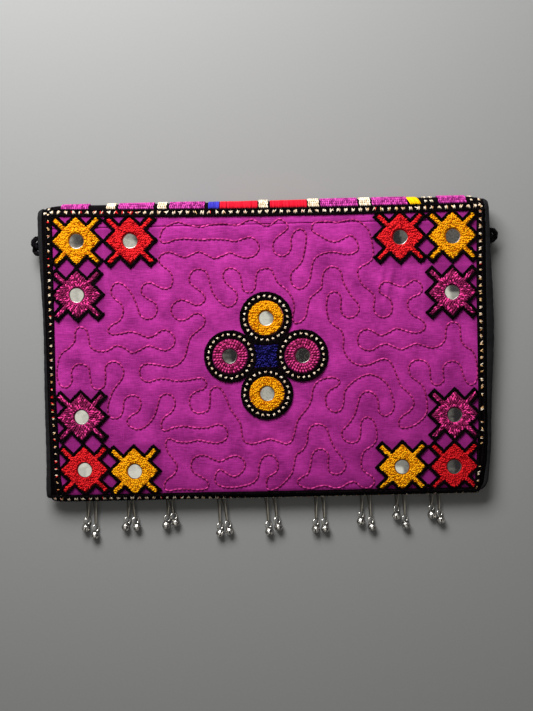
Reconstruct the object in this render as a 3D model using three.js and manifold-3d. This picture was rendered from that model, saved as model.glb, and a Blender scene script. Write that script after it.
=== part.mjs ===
// An embroidered mirror-work clutch purse, lying closed on its back with the flap uppermost.
// Millimetres. +X runs along the flap to the right, +Y towards the folded spine, +Z up from the floor.
// The origin is the middle of the pouch's flat back.
import * as THREE from "three";
import { mergeVertices } from "three/addons/utils/BufferGeometryUtils.js";
import Module from "manifold-3d";

const wasm = await Module();
wasm.setup();

const { degToRad, lerp, smoothstep } = THREE.MathUtils;

// Clearance between neighbouring pieces.
const GAP = 0.3;

// Vertices nearer than this are one, and cutting shapes reach this far past what they cut.
const WELD = 1e-4;
const PAST = 5;

// Flap: from the back seam it turns half round the spine, slopes down the front
// and curls under at its lower edge.
const FLAP_HALF_WIDTH = 140;
const PANEL_HALF_WIDTH = 136.2;
const FLAP_THICKNESS = 2.4;
const SPINE = { y: 82.6, z: 9.6, radius: 9.4 };
const SLOPE = degToRad(2.63);
const CURL = { start: -87.5, radius: 5.5, turn: degToRad(94) };
const CROWN_HEIGHT = 1.2;
const SIDE_FALL = { width: 14, depth: 3.5, underSpine: 0.5, atCurl: 0.45, curlFrom: 65 };
const CREASE = { at: 76.2, depth: 0.6, halfWidth: 1.5 };

// Pouch: a flat back panel and a sloping front panel inside a rounded edge, open towards the spine.
const POUCH = { halfWidth: 132, sideRound: 7.1, foldY: -85.9, foldRound: 4.3, wall: 1.5, lipY: 78 };

// Facets: shares of the flap's half width, and how far plain stretches run before the next facet.
const FLAP_SHARES = [1, 0.925, 0.5];
const SIDE_BORDER_SHARES = [0, 0.02, 0.12, 0.5, 0.98, 1];
const BORDER_COLUMNS = [126, 60];
const FLAP_ROW = 58;
const POUCH_COLUMN = 2;
const FOLD_ROWS = [4.2, 3, 0];

// Embroidery: thickness of the stitched pads, of the black outlines and of the mirrors.
const PAD_THICKNESS = 0.9;
const OUTLINE_THICKNESS = 1.1;
const OUTLINE_WIDTH = 1.9;
const MIRROR = { radius: 4.5, thickness: 0.8, sides: 8 };

// Border and spine band: the stitched rows lean a little against the flap's edges.
const SIDE_BORDER = { x: 134, halfWidth: 2.1 };
const TOP_BORDER = { s: 86, lean: -0.0095, halfWidth: 2.2 };
const BOTTOM_BORDER = { s: -93.6, lean: -0.006, halfWidth: 1.9 };
const SPINE_BAND = { left: -128, right: 129, turn: degToRad(125) };
const BINDING = { x: 138.25, halfWidth: 1.75, h: -1.1, halfHeight: 1.9, sides: 6 };

// Star: a diamond with a narrow arm out of the middle of each side.
const STAR = { halfDiagonal: 14.9, armReach: 13.4, armWidth: 2.8 };
const STARS = [
  { corner: "top_left", place: "corner", x: -115.5, s: 68.6, thread: "marigold" },
  { corner: "top_left", place: "inner", x: -82.5, s: 68, thread: "red" },
  { corner: "top_left", place: "side", x: -116, s: 35.5, thread: "magenta" },
  { corner: "top_right", place: "corner", x: 116, s: 66.4, thread: "marigold" },
  { corner: "top_right", place: "inner", x: 83.7, s: 66.5, thread: "red" },
  { corner: "top_right", place: "side", x: 115.4, s: 31.9, thread: "magenta" },
  { corner: "bottom_left", place: "corner", x: -115.2, s: -73.5, thread: "red" },
  { corner: "bottom_left", place: "inner", x: -84.1, s: -75, thread: "marigold" },
  { corner: "bottom_left", place: "side", x: -116, s: -40.3, thread: "magenta" },
  { corner: "bottom_right", place: "corner", x: 115.5, s: -76.6, thread: "red" },
  { corner: "bottom_right", place: "inner", x: 83, s: -76.2, thread: "marigold" },
  { corner: "bottom_right", place: "side", x: 116, s: -44.1, thread: "magenta" },
];

// Rosette: four ringed discs round a square with hollow sides.
const ROSETTE = { x: -0.2, s: -4.8, outerRadius: 16.3, discRadius: 10.9, sides: 12 };
const CENTRE = { side: 7.6, hollow: 2, sides: 3 };
const DISCS = [
  { place: "top", dx: 0.2, ds: 23.4, thread: "marigold" },
  { place: "bottom", dx: -0.2, ds: -23.5, thread: "marigold" },
  { place: "left", dx: -22.4, ds: 0.2, thread: "magenta" },
  { place: "right", dx: 22.2, ds: -0.3, thread: "magenta" },
];

// Bells: pairs of small round bells, each on a ring and a thread from the flap's lower edge.
const BELL = { radius: 2.75, sides: 10, rows: 4 };
const RING = { radius: 2, wire: 0.4, wireSides: 5, sides: 10, tilt: degToRad(32), z: 2.2 };
const THREAD = { radius: 0.45, sides: 3, steps: 6 };
const THREAD_TURNS = { startY: -91.6, startZ: 4.15, midY: -98, midZ: 3.6, midShare: 0.4 };
const BELL_PAIRS = [
  { left: { x: -117.4, y: -111.6, thread: -115 }, right: { x: -111.6, y: -116.2, thread: -110.8 } },
  { left: { x: -92, y: -111.6, thread: -89.2 }, right: { x: -85, y: -111.7, thread: -88 } },
  { left: { x: -66.3, y: -111, thread: -64.4 }, right: { x: -60.4, y: -109.7, thread: -63.3 } },
  { left: { x: -32.1, y: -116.8, thread: -32.6 }, right: { x: -26.2, y: -115.6, thread: -30.2 } },
  { left: { x: -0.9, y: -116.6, thread: -2.8 }, right: { x: 5, y: -113.8, thread: 2.2 } },
  { left: { x: 28.7, y: -115.7, thread: 29.2 }, right: { x: 34.7, y: -115.5, thread: 33.4 } },
  { left: { x: 57.5, y: -111.6, thread: 58.3 }, right: { x: 64.4, y: -115.2, thread: 62.4 } },
  { left: { x: 80.2, y: -108.6, thread: 80.4 }, right: { x: 85.9, y: -114.5, thread: 84.6 } },
  { left: { x: 102.6, y: -108.4, thread: 102.4 }, right: { x: 108.2, y: -111.8, thread: 106.6 } },
];

// Side knots: an overhand knot of black cord with a short stub that comes out of the pouch's side.
const KNOT = { radius: 3, cord: 1.35, x: 140.6, y: 67.6, z: 7.7, stubEnd: 138, steps: 16, sides: 5 };

const MATERIALS = {
  cotton: new THREE.MeshStandardMaterial({ color: 0xa32d80, roughness: 0.9, metalness: 0 }),
  black: new THREE.MeshStandardMaterial({ color: 0x141214, roughness: 0.85, metalness: 0 }),
  marigold: new THREE.MeshStandardMaterial({ color: 0xe3930b, roughness: 0.7, metalness: 0 }),
  red: new THREE.MeshStandardMaterial({ color: 0xc41a24, roughness: 0.7, metalness: 0 }),
  magenta: new THREE.MeshStandardMaterial({ color: 0x811d49, roughness: 0.7, metalness: 0 }),
  blue: new THREE.MeshStandardMaterial({ color: 0x1a1a8a, roughness: 0.7, metalness: 0 }),
  pink: new THREE.MeshStandardMaterial({ color: 0xd950b1, roughness: 0.7, metalness: 0 }),
  mirror: new THREE.MeshStandardMaterial({ color: 0xd0d0cc, roughness: 0.1, metalness: 1 }),
  silver: new THREE.MeshStandardMaterial({ color: 0xc8c6c0, roughness: 0.3, metalness: 1 }),
};

// Where the slope meets the spine. Along the slope, s is very nearly y.
const SLOPE_TOP = {
  y: SPINE.y - SPINE.radius * Math.sin(SLOPE),
  z: SPINE.z + SPINE.radius * Math.cos(SLOPE),
};
const SPINE_END = SLOPE_TOP.y + SPINE.radius * (Math.PI + SLOPE);
const CURL_END = CURL.start - CURL.radius * CURL.turn;

const purse = new THREE.Group();

function add(name, geometry, material) {
  const mesh = new THREE.Mesh(geometry, MATERIALS[material]);
  mesh.name = name;
  purse.add(mesh);
}

// How far the padded middle of the flap stands above the slope.
function crown(x, s) {
  const across = Math.max(0, 1 - (x / PANEL_HALF_WIDTH) ** 2);
  const along = Math.max(0, 1 - (s / SLOPE_TOP.y) ** 2);
  return CROWN_HEIGHT * across * along;
}

// How far the flap's sides drop, less under the spine and at the curl.
function sideFall(x, s) {
  const t = Math.max(0, Math.abs(x) - FLAP_HALF_WIDTH + SIDE_FALL.width) / SIDE_FALL.width;
  const under = smoothstep(s, SLOPE_TOP.y + (SPINE.radius * Math.PI) / 2, SPINE_END);
  const curl = smoothstep(-s, SIDE_FALL.curlFrom, -CURL.start);
  const share = 1 - (1 - SIDE_FALL.underSpine) * under - (1 - SIDE_FALL.atCurl) * curl;
  return SIDE_FALL.depth * share * t * t;
}

// The point at height h over the flap's outer face, x across the flap and s along it.
// Stiff pads run straight on over the curl.
function onFlap(x, s, h, curled = true) {
  let angle = Math.PI / 2 + SLOPE;
  let centre = SPINE;
  let radius = SPINE.radius;
  if (s > SLOPE_TOP.y) {
    angle -= (s - SLOPE_TOP.y) / SPINE.radius;
  } else {
    const straight = (curled ? Math.max(s, CURL.start) : s) - SLOPE_TOP.y;
    radius = CURL.radius;
    centre = {
      y: SLOPE_TOP.y + straight * Math.cos(SLOPE) - radius * Math.cos(angle),
      z: SLOPE_TOP.z + straight * Math.sin(SLOPE) - radius * Math.sin(angle),
    };
    angle += curled ? Math.max(0, CURL.start - s) / radius : 0;
  }
  const out = radius + crown(x, s) - sideFall(x, s) + h;
  return new THREE.Vector3(x, centre.y + out * Math.cos(angle), centre.z + out * Math.sin(angle));
}

// Moves every vertex of a geometry by a function of its place.
function reshape(geometry, place) {
  const position = geometry.getAttribute("position");
  for (let i = 0; i < position.count; i++) {
    const p = place(position.getX(i), position.getY(i), position.getZ(i));
    position.setXYZ(i, p.x, p.y, p.z);
  }
  return geometry;
}

// A closed sheet through a row of x stations and a row of s stations.
// In place(x, s, side) the side is 0 below and 1 above.
function sheet(xs, ss, place) {
  const columns = xs.length - 1;
  const rows = ss.length - 1;
  const box = new THREE.BoxGeometry(1, 1, 1, columns, rows, 1);
  return reshape(box, (x, y, z) => {
    const column = Math.round((x + 0.5) * columns);
    const row = Math.round((y + 0.5) * rows);
    return place(xs[column], ss[row], Math.round(z + 0.5));
  });
}

// Evenly spaced numbers from one value to another.
function stations(from, to, steps) {
  return Array.from({ length: steps + 1 }, (_, i) => lerp(from, to, i / steps));
}

// A closed geometry as a solid that can be cut and joined.
function solid(geometry) {
  const bare = geometry.clone();
  bare.deleteAttribute("normal");
  bare.deleteAttribute("uv");
  const merged = mergeVertices(bare, WELD);
  const vertProperties = new Float32Array(merged.getAttribute("position").array);
  const triVerts = new Uint32Array(merged.index.array);
  return new wasm.Manifold(new wasm.Mesh({ numProp: 3, vertProperties, triVerts }));
}

function geometryOf(made) {
  const mesh = made.getMesh();
  const geometry = new THREE.BufferGeometry();
  geometry.setAttribute("position", new THREE.BufferAttribute(mesh.vertProperties, mesh.numProp));
  geometry.setIndex(new THREE.BufferAttribute(mesh.triVerts, 1));
  return geometry;
}

function joined(geometries) {
  return geometryOf(geometries.map(solid).reduce((all, next) => all.add(next)));
}

// Flap

const flapColumns = FLAP_SHARES.map((share) => share * PANEL_HALF_WIDTH);
const FLAP_XS = [...flapColumns.map((x) => -x), 0, ...flapColumns.reverse()];
const CREASE_ROWS = [-1, 0, 1].map((side) => CREASE.at + side * CREASE.halfWidth);
const FLAP_SS = [
  ...stations(CURL_END, CURL.start, 4),
  ...stations(-FLAP_ROW, FLAP_ROW, 3),
  ...CREASE_ROWS,
  ...stations(SLOPE_TOP.y, SPINE_END, 7),
];

function flapFace(x, s, side) {
  const crease = CREASE.depth * Math.max(0, 1 - Math.abs(s - CREASE.at) / CREASE.halfWidth);
  return onFlap(x, s, side ? -crease : -FLAP_THICKNESS);
}

add("flap", sheet(FLAP_XS, FLAP_SS, flapFace), "cotton");

// Pouch

const PANEL_EDGE = POUCH.halfWidth - POUCH.sideRound;

// The height of the flap's underside above the floor, less the clearance, over the slope.
function pouchFront(x, y) {
  const underFlap = onFlap(Math.min(Math.abs(x), PANEL_EDGE), y, -FLAP_THICKNESS, false);
  return Math.min(underFlap.z, SLOPE_TOP.z - FLAP_THICKNESS) - GAP;
}

// The outer or inner face of the pouch: inset is 0 outside and the wall's thickness inside.
function pouchFace(inset) {
  return (x, y, side) => {
    const beyondSide = Math.max(0, Math.abs(x) + inset - PANEL_EDGE) / POUCH.sideRound;
    const beyondFold = Math.max(0, POUCH.foldY - y + inset) / POUCH.foldRound;
    const round = Math.sqrt(Math.max(0, 1 - beyondSide ** 2) * Math.max(0, 1 - beyondFold ** 2));
    const front = pouchFront(x, y);
    const half = (front / 2) * round - inset;
    return new THREE.Vector3(x, y, front / 2 + (side ? half : -half));
  };
}

function pouchStations(inset) {
  const edge = POUCH.halfWidth - inset;
  const columns = [edge, edge - POUCH_COLUMN, edge - POUCH.sideRound, edge / 2];
  return [...columns.map((x) => -x), 0, ...columns.reverse()];
}

function pouchRows(inset, mouthY) {
  const fold = FOLD_ROWS.map((row) => POUCH.foldY - row * (1 - inset / POUCH.foldRound));
  return [...fold, 0, mouthY];
}

const pouchOuter = sheet(pouchStations(0), pouchRows(0, SPINE.y - GAP), pouchFace(0));
const pouchInner = sheet(
  pouchStations(POUCH.wall),
  pouchRows(POUCH.wall, SPINE.y + PAST),
  pouchFace(POUCH.wall),
);
const lipCut = new THREE.BoxGeometry(2 * FLAP_HALF_WIDTH, SPINE.y, 2 * SPINE.radius);
lipCut.translate(0, POUCH.lipY + SPINE.y / 2, POUCH.wall + SPINE.radius);
const pouch = solid(pouchOuter).subtract(solid(pouchInner)).subtract(solid(lipCut));

// A block over the panels, grown by a margin at the sides and the fold.
function panelBlock(margin, fromZ, toZ) {
  const fromY = POUCH.foldY - margin;
  const toY = SPINE.y + PAST;
  const block = new THREE.BoxGeometry(2 * (PANEL_EDGE + margin), toY - fromY, toZ - fromZ);
  return solid(block.translate(0, (fromY + toY) / 2, (fromZ + toZ) / 2));
}

const POUCH_TOP = SPINE.z + SPINE.radius;
const POUCH_MIDDLE = 2 * POUCH.wall;
add("pouch_back", geometryOf(pouch.intersect(panelBlock(-GAP / 2, -PAST, POUCH_MIDDLE))), "black");
add("pouch_front", geometryOf(pouch.intersect(panelBlock(-GAP / 2, POUCH_MIDDLE, POUCH_TOP))), "black");
add("pouch_edge", geometryOf(pouch.subtract(panelBlock(GAP / 2, -PAST, POUCH_TOP))), "black");

// Side bindings

for (const [side, sign] of [["left", -1], ["right", 1]]) {
  const rows = [
    ...stations(CURL_END + GAP, CURL.start, 3),
    ...stations(-FLAP_ROW, FLAP_ROW, 2),
    ...stations(SLOPE_TOP.y, SPINE_END - GAP, 7),
  ];
  const roll = new THREE.CylinderGeometry(1, 1, 1, BINDING.sides, rows.length - 1);
  reshape(roll, (x, y, z) => {
    const s = rows[Math.round((0.5 + y) * (rows.length - 1))];
    return onFlap(sign * BINDING.x + BINDING.halfWidth * x, s, BINDING.h + BINDING.halfHeight * z);
  });
  add(`binding_${side}`, roll, "black");
}

// Border and spine band

function borderEdge(border, x, side) {
  return border.s + border.lean * x + side * border.halfWidth;
}

function stitchedSheet(xs, ss, rowAt) {
  return sheet(xs, ss, (x, t, side) => onFlap(x, rowAt(x, t), GAP + side * PAD_THICKNESS));
}

const BORDER_EDGE = SIDE_BORDER.x + SIDE_BORDER.halfWidth;
const borderColumns = [BORDER_EDGE, ...BORDER_COLUMNS];
const BORDER_XS = [...borderColumns.map((x) => -x), 0, ...borderColumns.reverse()];

for (const [name, border] of [["border_top", TOP_BORDER], ["border_bottom", BOTTOM_BORDER]]) {
  const strip = stitchedSheet(BORDER_XS, [-1, 0, 1], (x, side) => borderEdge(border, x, side));
  add(name, strip, "black");
}

for (const [side, sign] of [["left", -1], ["right", 1]]) {
  const xs = [-1, 0, 1].map((edge) => sign * SIDE_BORDER.x + edge * SIDE_BORDER.halfWidth);
  const strip = stitchedSheet(xs, SIDE_BORDER_SHARES, (x, t) =>
    lerp(borderEdge(BOTTOM_BORDER, x, 1) + GAP, borderEdge(TOP_BORDER, x, -1) - GAP, t),
  );
  add(`border_${side}`, strip, "black");
}

const bandEnd = SLOPE_TOP.y + SPINE.radius * SPINE_BAND.turn;
const bandXs = stations(SPINE_BAND.left, SPINE_BAND.right, 4);
const spineBand = stitchedSheet(bandXs, stations(0, 1, 6), (x, t) =>
  lerp(borderEdge(TOP_BORDER, x, 1) + GAP, bandEnd, t),
);
add("spine_band", spineBand, "pink");

// Stars, mirrors and corner lattices

// A point turned about the origin.
function turned(x, y, angle) {
  return new THREE.Vector2(x, y).rotateAround(new THREE.Vector2(), angle);
}

// The star's outline, grown by a margin all round.
function starShape(margin) {
  const grow = margin * Math.SQRT2;
  const tip = STAR.halfDiagonal + grow;
  const arm = STAR.armWidth / Math.SQRT2 + grow;
  const reach = 2 * STAR.armReach + grow;
  const quarter = [
    [tip, 0],
    [(tip + arm) / 2, (tip - arm) / 2],
    [(reach + arm) / 2, (reach - arm) / 2],
    [(reach - arm) / 2, (reach + arm) / 2],
    [(tip - arm) / 2, (tip + arm) / 2],
  ];
  const points = [0, 1, 2, 3].flatMap((turn) =>
    quarter.map(([x, y]) => turned(x, y, (turn * Math.PI) / 2)),
  );
  return new THREE.Shape(points);
}

function circleShape(radius) {
  return new THREE.Shape().absarc(0, 0, radius, 0, 2 * Math.PI);
}

// A flat pad of a shape, with a round hole for a mirror where one is asked for.
function flatPad(shape, x, s, thickness, sides, holeRadius = 0) {
  if (holeRadius) shape.holes.push(new THREE.Path().absarc(0, 0, holeRadius, 0, 2 * Math.PI, true));
  const settings = { depth: thickness, bevelEnabled: false, curveSegments: sides / 2 };
  return new THREE.ExtrudeGeometry(shape, settings).translate(x, s, 0);
}

function sewnOn(geometry) {
  return reshape(geometry, (x, s, h) => onFlap(x, s, GAP + h, false));
}

function addMirror(name, x, s) {
  const disc = flatPad(circleShape(MIRROR.radius), x, s, MIRROR.thickness, MIRROR.sides);
  add(name, sewnOn(disc), "mirror");
}

const MIRROR_HOLE = MIRROR.radius + GAP;

for (const { corner, place, x, s, thread } of STARS) {
  const star = flatPad(starShape(-GAP / 2), x, s, PAD_THICKNESS, MIRROR.sides, MIRROR_HOLE);
  add(`star_${corner}_${place}`, sewnOn(star), thread);
  addMirror(`mirror_${corner}_${place}`, x, s);
}

// The field inside the border, which the lattices are trimmed to.
const FIELD_EDGE = SIDE_BORDER.x - SIDE_BORDER.halfWidth - GAP;
const FIELD_CORNERS = [
  { x: -FIELD_EDGE, border: BOTTOM_BORDER, side: 1 },
  { x: FIELD_EDGE, border: BOTTOM_BORDER, side: 1 },
  { x: FIELD_EDGE, border: TOP_BORDER, side: -1 },
  { x: -FIELD_EDGE, border: TOP_BORDER, side: -1 },
];
const fieldShape = new THREE.Shape(
  FIELD_CORNERS.map(({ x, border, side }) => {
    return new THREE.Vector2(x, borderEdge(border, x, side) + side * GAP);
  }),
);
const field = solid(flatPad(fieldShape, 0, 0, OUTLINE_THICKNESS, 1));

for (const corner of ["top_left", "top_right", "bottom_left", "bottom_right"]) {
  const stars = STARS.filter((star) => star.corner === corner);
  const grown = (margin) =>
    stars
      .map(({ x, s }) => solid(flatPad(starShape(margin), x, s, OUTLINE_THICKNESS, 1)))
      .reduce((all, next) => all.add(next));
  const lattice = grown(OUTLINE_WIDTH).subtract(grown(GAP / 2)).intersect(field);
  add(`lattice_${corner}`, sewnOn(geometryOf(lattice)), "black");
}

// Rosette

const { outerRadius, discRadius, sides: ROUND } = ROSETTE;

function rosettePad(radius, disc, thickness, holeRadius) {
  const x = ROSETTE.x + disc.dx;
  const s = ROSETTE.s + disc.ds;
  return flatPad(circleShape(radius), x, s, thickness, ROUND, holeRadius);
}

function centreShape(side) {
  const corners = [0, 1, 2, 3].map((turn) => turned(side, -side, (turn * Math.PI) / 2));
  const shape = new THREE.Shape().moveTo(corners[3].x, corners[3].y);
  for (const [i, to] of corners.entries()) {
    const from = corners[(i + 3) % 4];
    const middle = from.clone().add(to).multiplyScalar(0.5);
    middle.setLength(middle.length() - CENTRE.hollow);
    shape.quadraticCurveTo(middle.x, middle.y, to.x, to.y);
  }
  return shape;
}

function centrePad(margin, thickness) {
  return flatPad(centreShape(CENTRE.side + margin), ROSETTE.x, ROSETTE.s, thickness, CENTRE.sides);
}

let rings = solid(centrePad(OUTLINE_WIDTH, OUTLINE_THICKNESS));
for (const disc of DISCS) {
  rings = rings.add(solid(rosettePad(outerRadius, disc, OUTLINE_THICKNESS)));
}
for (const disc of DISCS) {
  rings = rings.subtract(solid(rosettePad(discRadius + GAP, disc, OUTLINE_THICKNESS)));
}
rings = rings.subtract(solid(centrePad(GAP, OUTLINE_THICKNESS)));
add("rosette_rings", sewnOn(geometryOf(rings)), "black");
add("rosette_centre", sewnOn(centrePad(0, PAD_THICKNESS)), "blue");

for (const disc of DISCS) {
  const pad = rosettePad(discRadius, disc, PAD_THICKNESS, MIRROR_HOLE);
  add(`rosette_disc_${disc.place}`, sewnOn(pad), disc.thread);
  addMirror(`mirror_rosette_${disc.place}`, ROSETTE.x + disc.dx, ROSETTE.s + disc.ds);
}

// Bells

// Where one bell, its ring and the end of its thread lie on the floor.
function bellString({ x, y, thread }) {
  const bell = new THREE.Vector2(x, y);
  const up = new THREE.Vector2(thread - x, THREAD_TURNS.midY - y).normalize();
  const ring = bell.clone().addScaledVector(up, BELL.radius + RING.radius - RING.wire);
  const end = ring.clone().addScaledVector(up, RING.radius);
  return { bell, up, ring, end, thread };
}

function bellAndRing({ bell, up, ring }) {
  const ball = new THREE.SphereGeometry(BELL.radius, BELL.sides, BELL.rows);
  ball.translate(bell.x, bell.y, BELL.radius);
  const link = new THREE.TorusGeometry(RING.radius, RING.wire, RING.wireSides, RING.sides);
  link.rotateY(RING.tilt).rotateZ(up.angle() - Math.PI / 2);
  link.translate(ring.x, ring.y, RING.z);
  return [ball, link];
}

// From the ring up to the flap's lower edge.
function threadRoute({ end, thread }) {
  return [
    new THREE.Vector3(end.x, end.y, RING.z),
    new THREE.Vector3(lerp(thread, end.x, THREAD_TURNS.midShare), THREAD_TURNS.midY, THREAD_TURNS.midZ),
    new THREE.Vector3(thread, THREAD_TURNS.startY, THREAD_TURNS.startZ),
  ];
}

const threadSection = new THREE.Shape(
  stations(0, 2 * Math.PI, THREAD.sides)
    .slice(1)
    .map((turn) => turned(THREAD.radius, 0, turn)),
);

for (const [i, pair] of BELL_PAIRS.entries()) {
  const left = bellString(pair.left);
  const right = bellString(pair.right);
  const route = new THREE.CatmullRomCurve3([...threadRoute(left), ...threadRoute(right).reverse()]);
  const thread = new THREE.ExtrudeGeometry(threadSection, { extrudePath: route, steps: THREAD.steps });
  add(`bells_${i + 1}`, joined([...bellAndRing(left), ...bellAndRing(right), thread]), "silver");
}

// Side knots

for (const [side, sign] of [["left", -1], ["right", 1]]) {
  const knot = new THREE.TorusKnotGeometry(KNOT.radius, KNOT.cord, KNOT.steps, KNOT.sides, 2, 3);
  knot.translate(sign * KNOT.x, KNOT.y, KNOT.z);
  const stubStart = POUCH.halfWidth + GAP;
  const stub = new THREE.CylinderGeometry(KNOT.cord, KNOT.cord, KNOT.stubEnd - stubStart, KNOT.sides);
  stub.rotateZ(Math.PI / 2).translate((sign * (stubStart + KNOT.stubEnd)) / 2, KNOT.y, KNOT.z);
  add(`knot_${side}`, joined([knot, stub]), "black");
}

export default purse;
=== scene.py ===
"""A mirror-work clutch purse lying closed on its back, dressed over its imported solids."""

import math

import bmesh
import bpy
import numpy as np
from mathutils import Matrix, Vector
from mathutils.kdtree import KDTree


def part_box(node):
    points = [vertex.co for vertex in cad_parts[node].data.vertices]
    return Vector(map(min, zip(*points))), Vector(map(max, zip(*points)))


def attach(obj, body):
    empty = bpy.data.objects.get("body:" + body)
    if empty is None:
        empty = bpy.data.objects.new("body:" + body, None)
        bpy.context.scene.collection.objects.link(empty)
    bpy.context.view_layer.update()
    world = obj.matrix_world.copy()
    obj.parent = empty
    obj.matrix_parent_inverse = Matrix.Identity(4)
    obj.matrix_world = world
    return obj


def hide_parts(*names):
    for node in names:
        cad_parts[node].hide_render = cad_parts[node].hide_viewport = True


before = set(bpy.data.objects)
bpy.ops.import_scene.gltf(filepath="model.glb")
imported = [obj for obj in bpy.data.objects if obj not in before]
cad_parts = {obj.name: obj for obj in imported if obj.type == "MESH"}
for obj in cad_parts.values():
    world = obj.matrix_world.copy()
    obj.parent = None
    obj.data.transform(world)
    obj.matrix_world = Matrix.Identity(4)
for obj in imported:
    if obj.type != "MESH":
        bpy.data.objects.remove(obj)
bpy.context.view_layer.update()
rng = np.random.default_rng(11)

MM = 0.001

# The flap's surface in millimetres, as in the part: spine, slope, curl at the lower edge, falling sides.
FLAP_HALF_WIDTH = 140.0
PANEL_HALF_WIDTH = 136.2
FLAP_THICKNESS = 2.4
SPINE_Y, SPINE_Z, SPINE_RADIUS = 82.6, 9.6, 9.4
SLOPE = math.radians(2.63)
CURL_START, CURL_RADIUS, CURL_TURN = -87.5, 5.5, math.radians(94)
CROWN_HEIGHT = 1.2
FALL_WIDTH, FALL_DEPTH, FALL_UNDER_SPINE, FALL_AT_CURL, FALL_CURL_FROM = 14.0, 3.5, 0.5, 0.45, 65.0
CREASE_AT, CREASE_DEPTH, CREASE_WIDTH = 76.2, 0.6, 0.4
TOP_Y = SPINE_Y - SPINE_RADIUS * math.sin(SLOPE)
TOP_Z = SPINE_Z + SPINE_RADIUS * math.cos(SLOPE)
SPINE_END = TOP_Y + SPINE_RADIUS * (math.pi + SLOPE)
CURL_END = CURL_START - CURL_RADIUS * CURL_TURN

# The lower right corner: how far it is drawn in and rounded, over which stretch of -s, and from which x.
CORNER_DRAW, CORNER_ROUND, CORNER_FROM = 3.4, 3.2, 126
CORNER_DRAW_REACH, CORNER_ROUND_REACH = (60, 95), (85, 97)

# The photograph: its camera stands straight above the purse, turned a little about the vertical.
EYE_X, EYE_Y, EYE_Z = -0.1, -4.65, 500.0
FRAME_HEIGHT_PX, FOCAL_PX = 711, 782.0
MIDDLE_U, MIDDLE_V = 266.5, 355.5
ROLL = math.radians(1.35)
SENSOR_MM = 36.0

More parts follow.
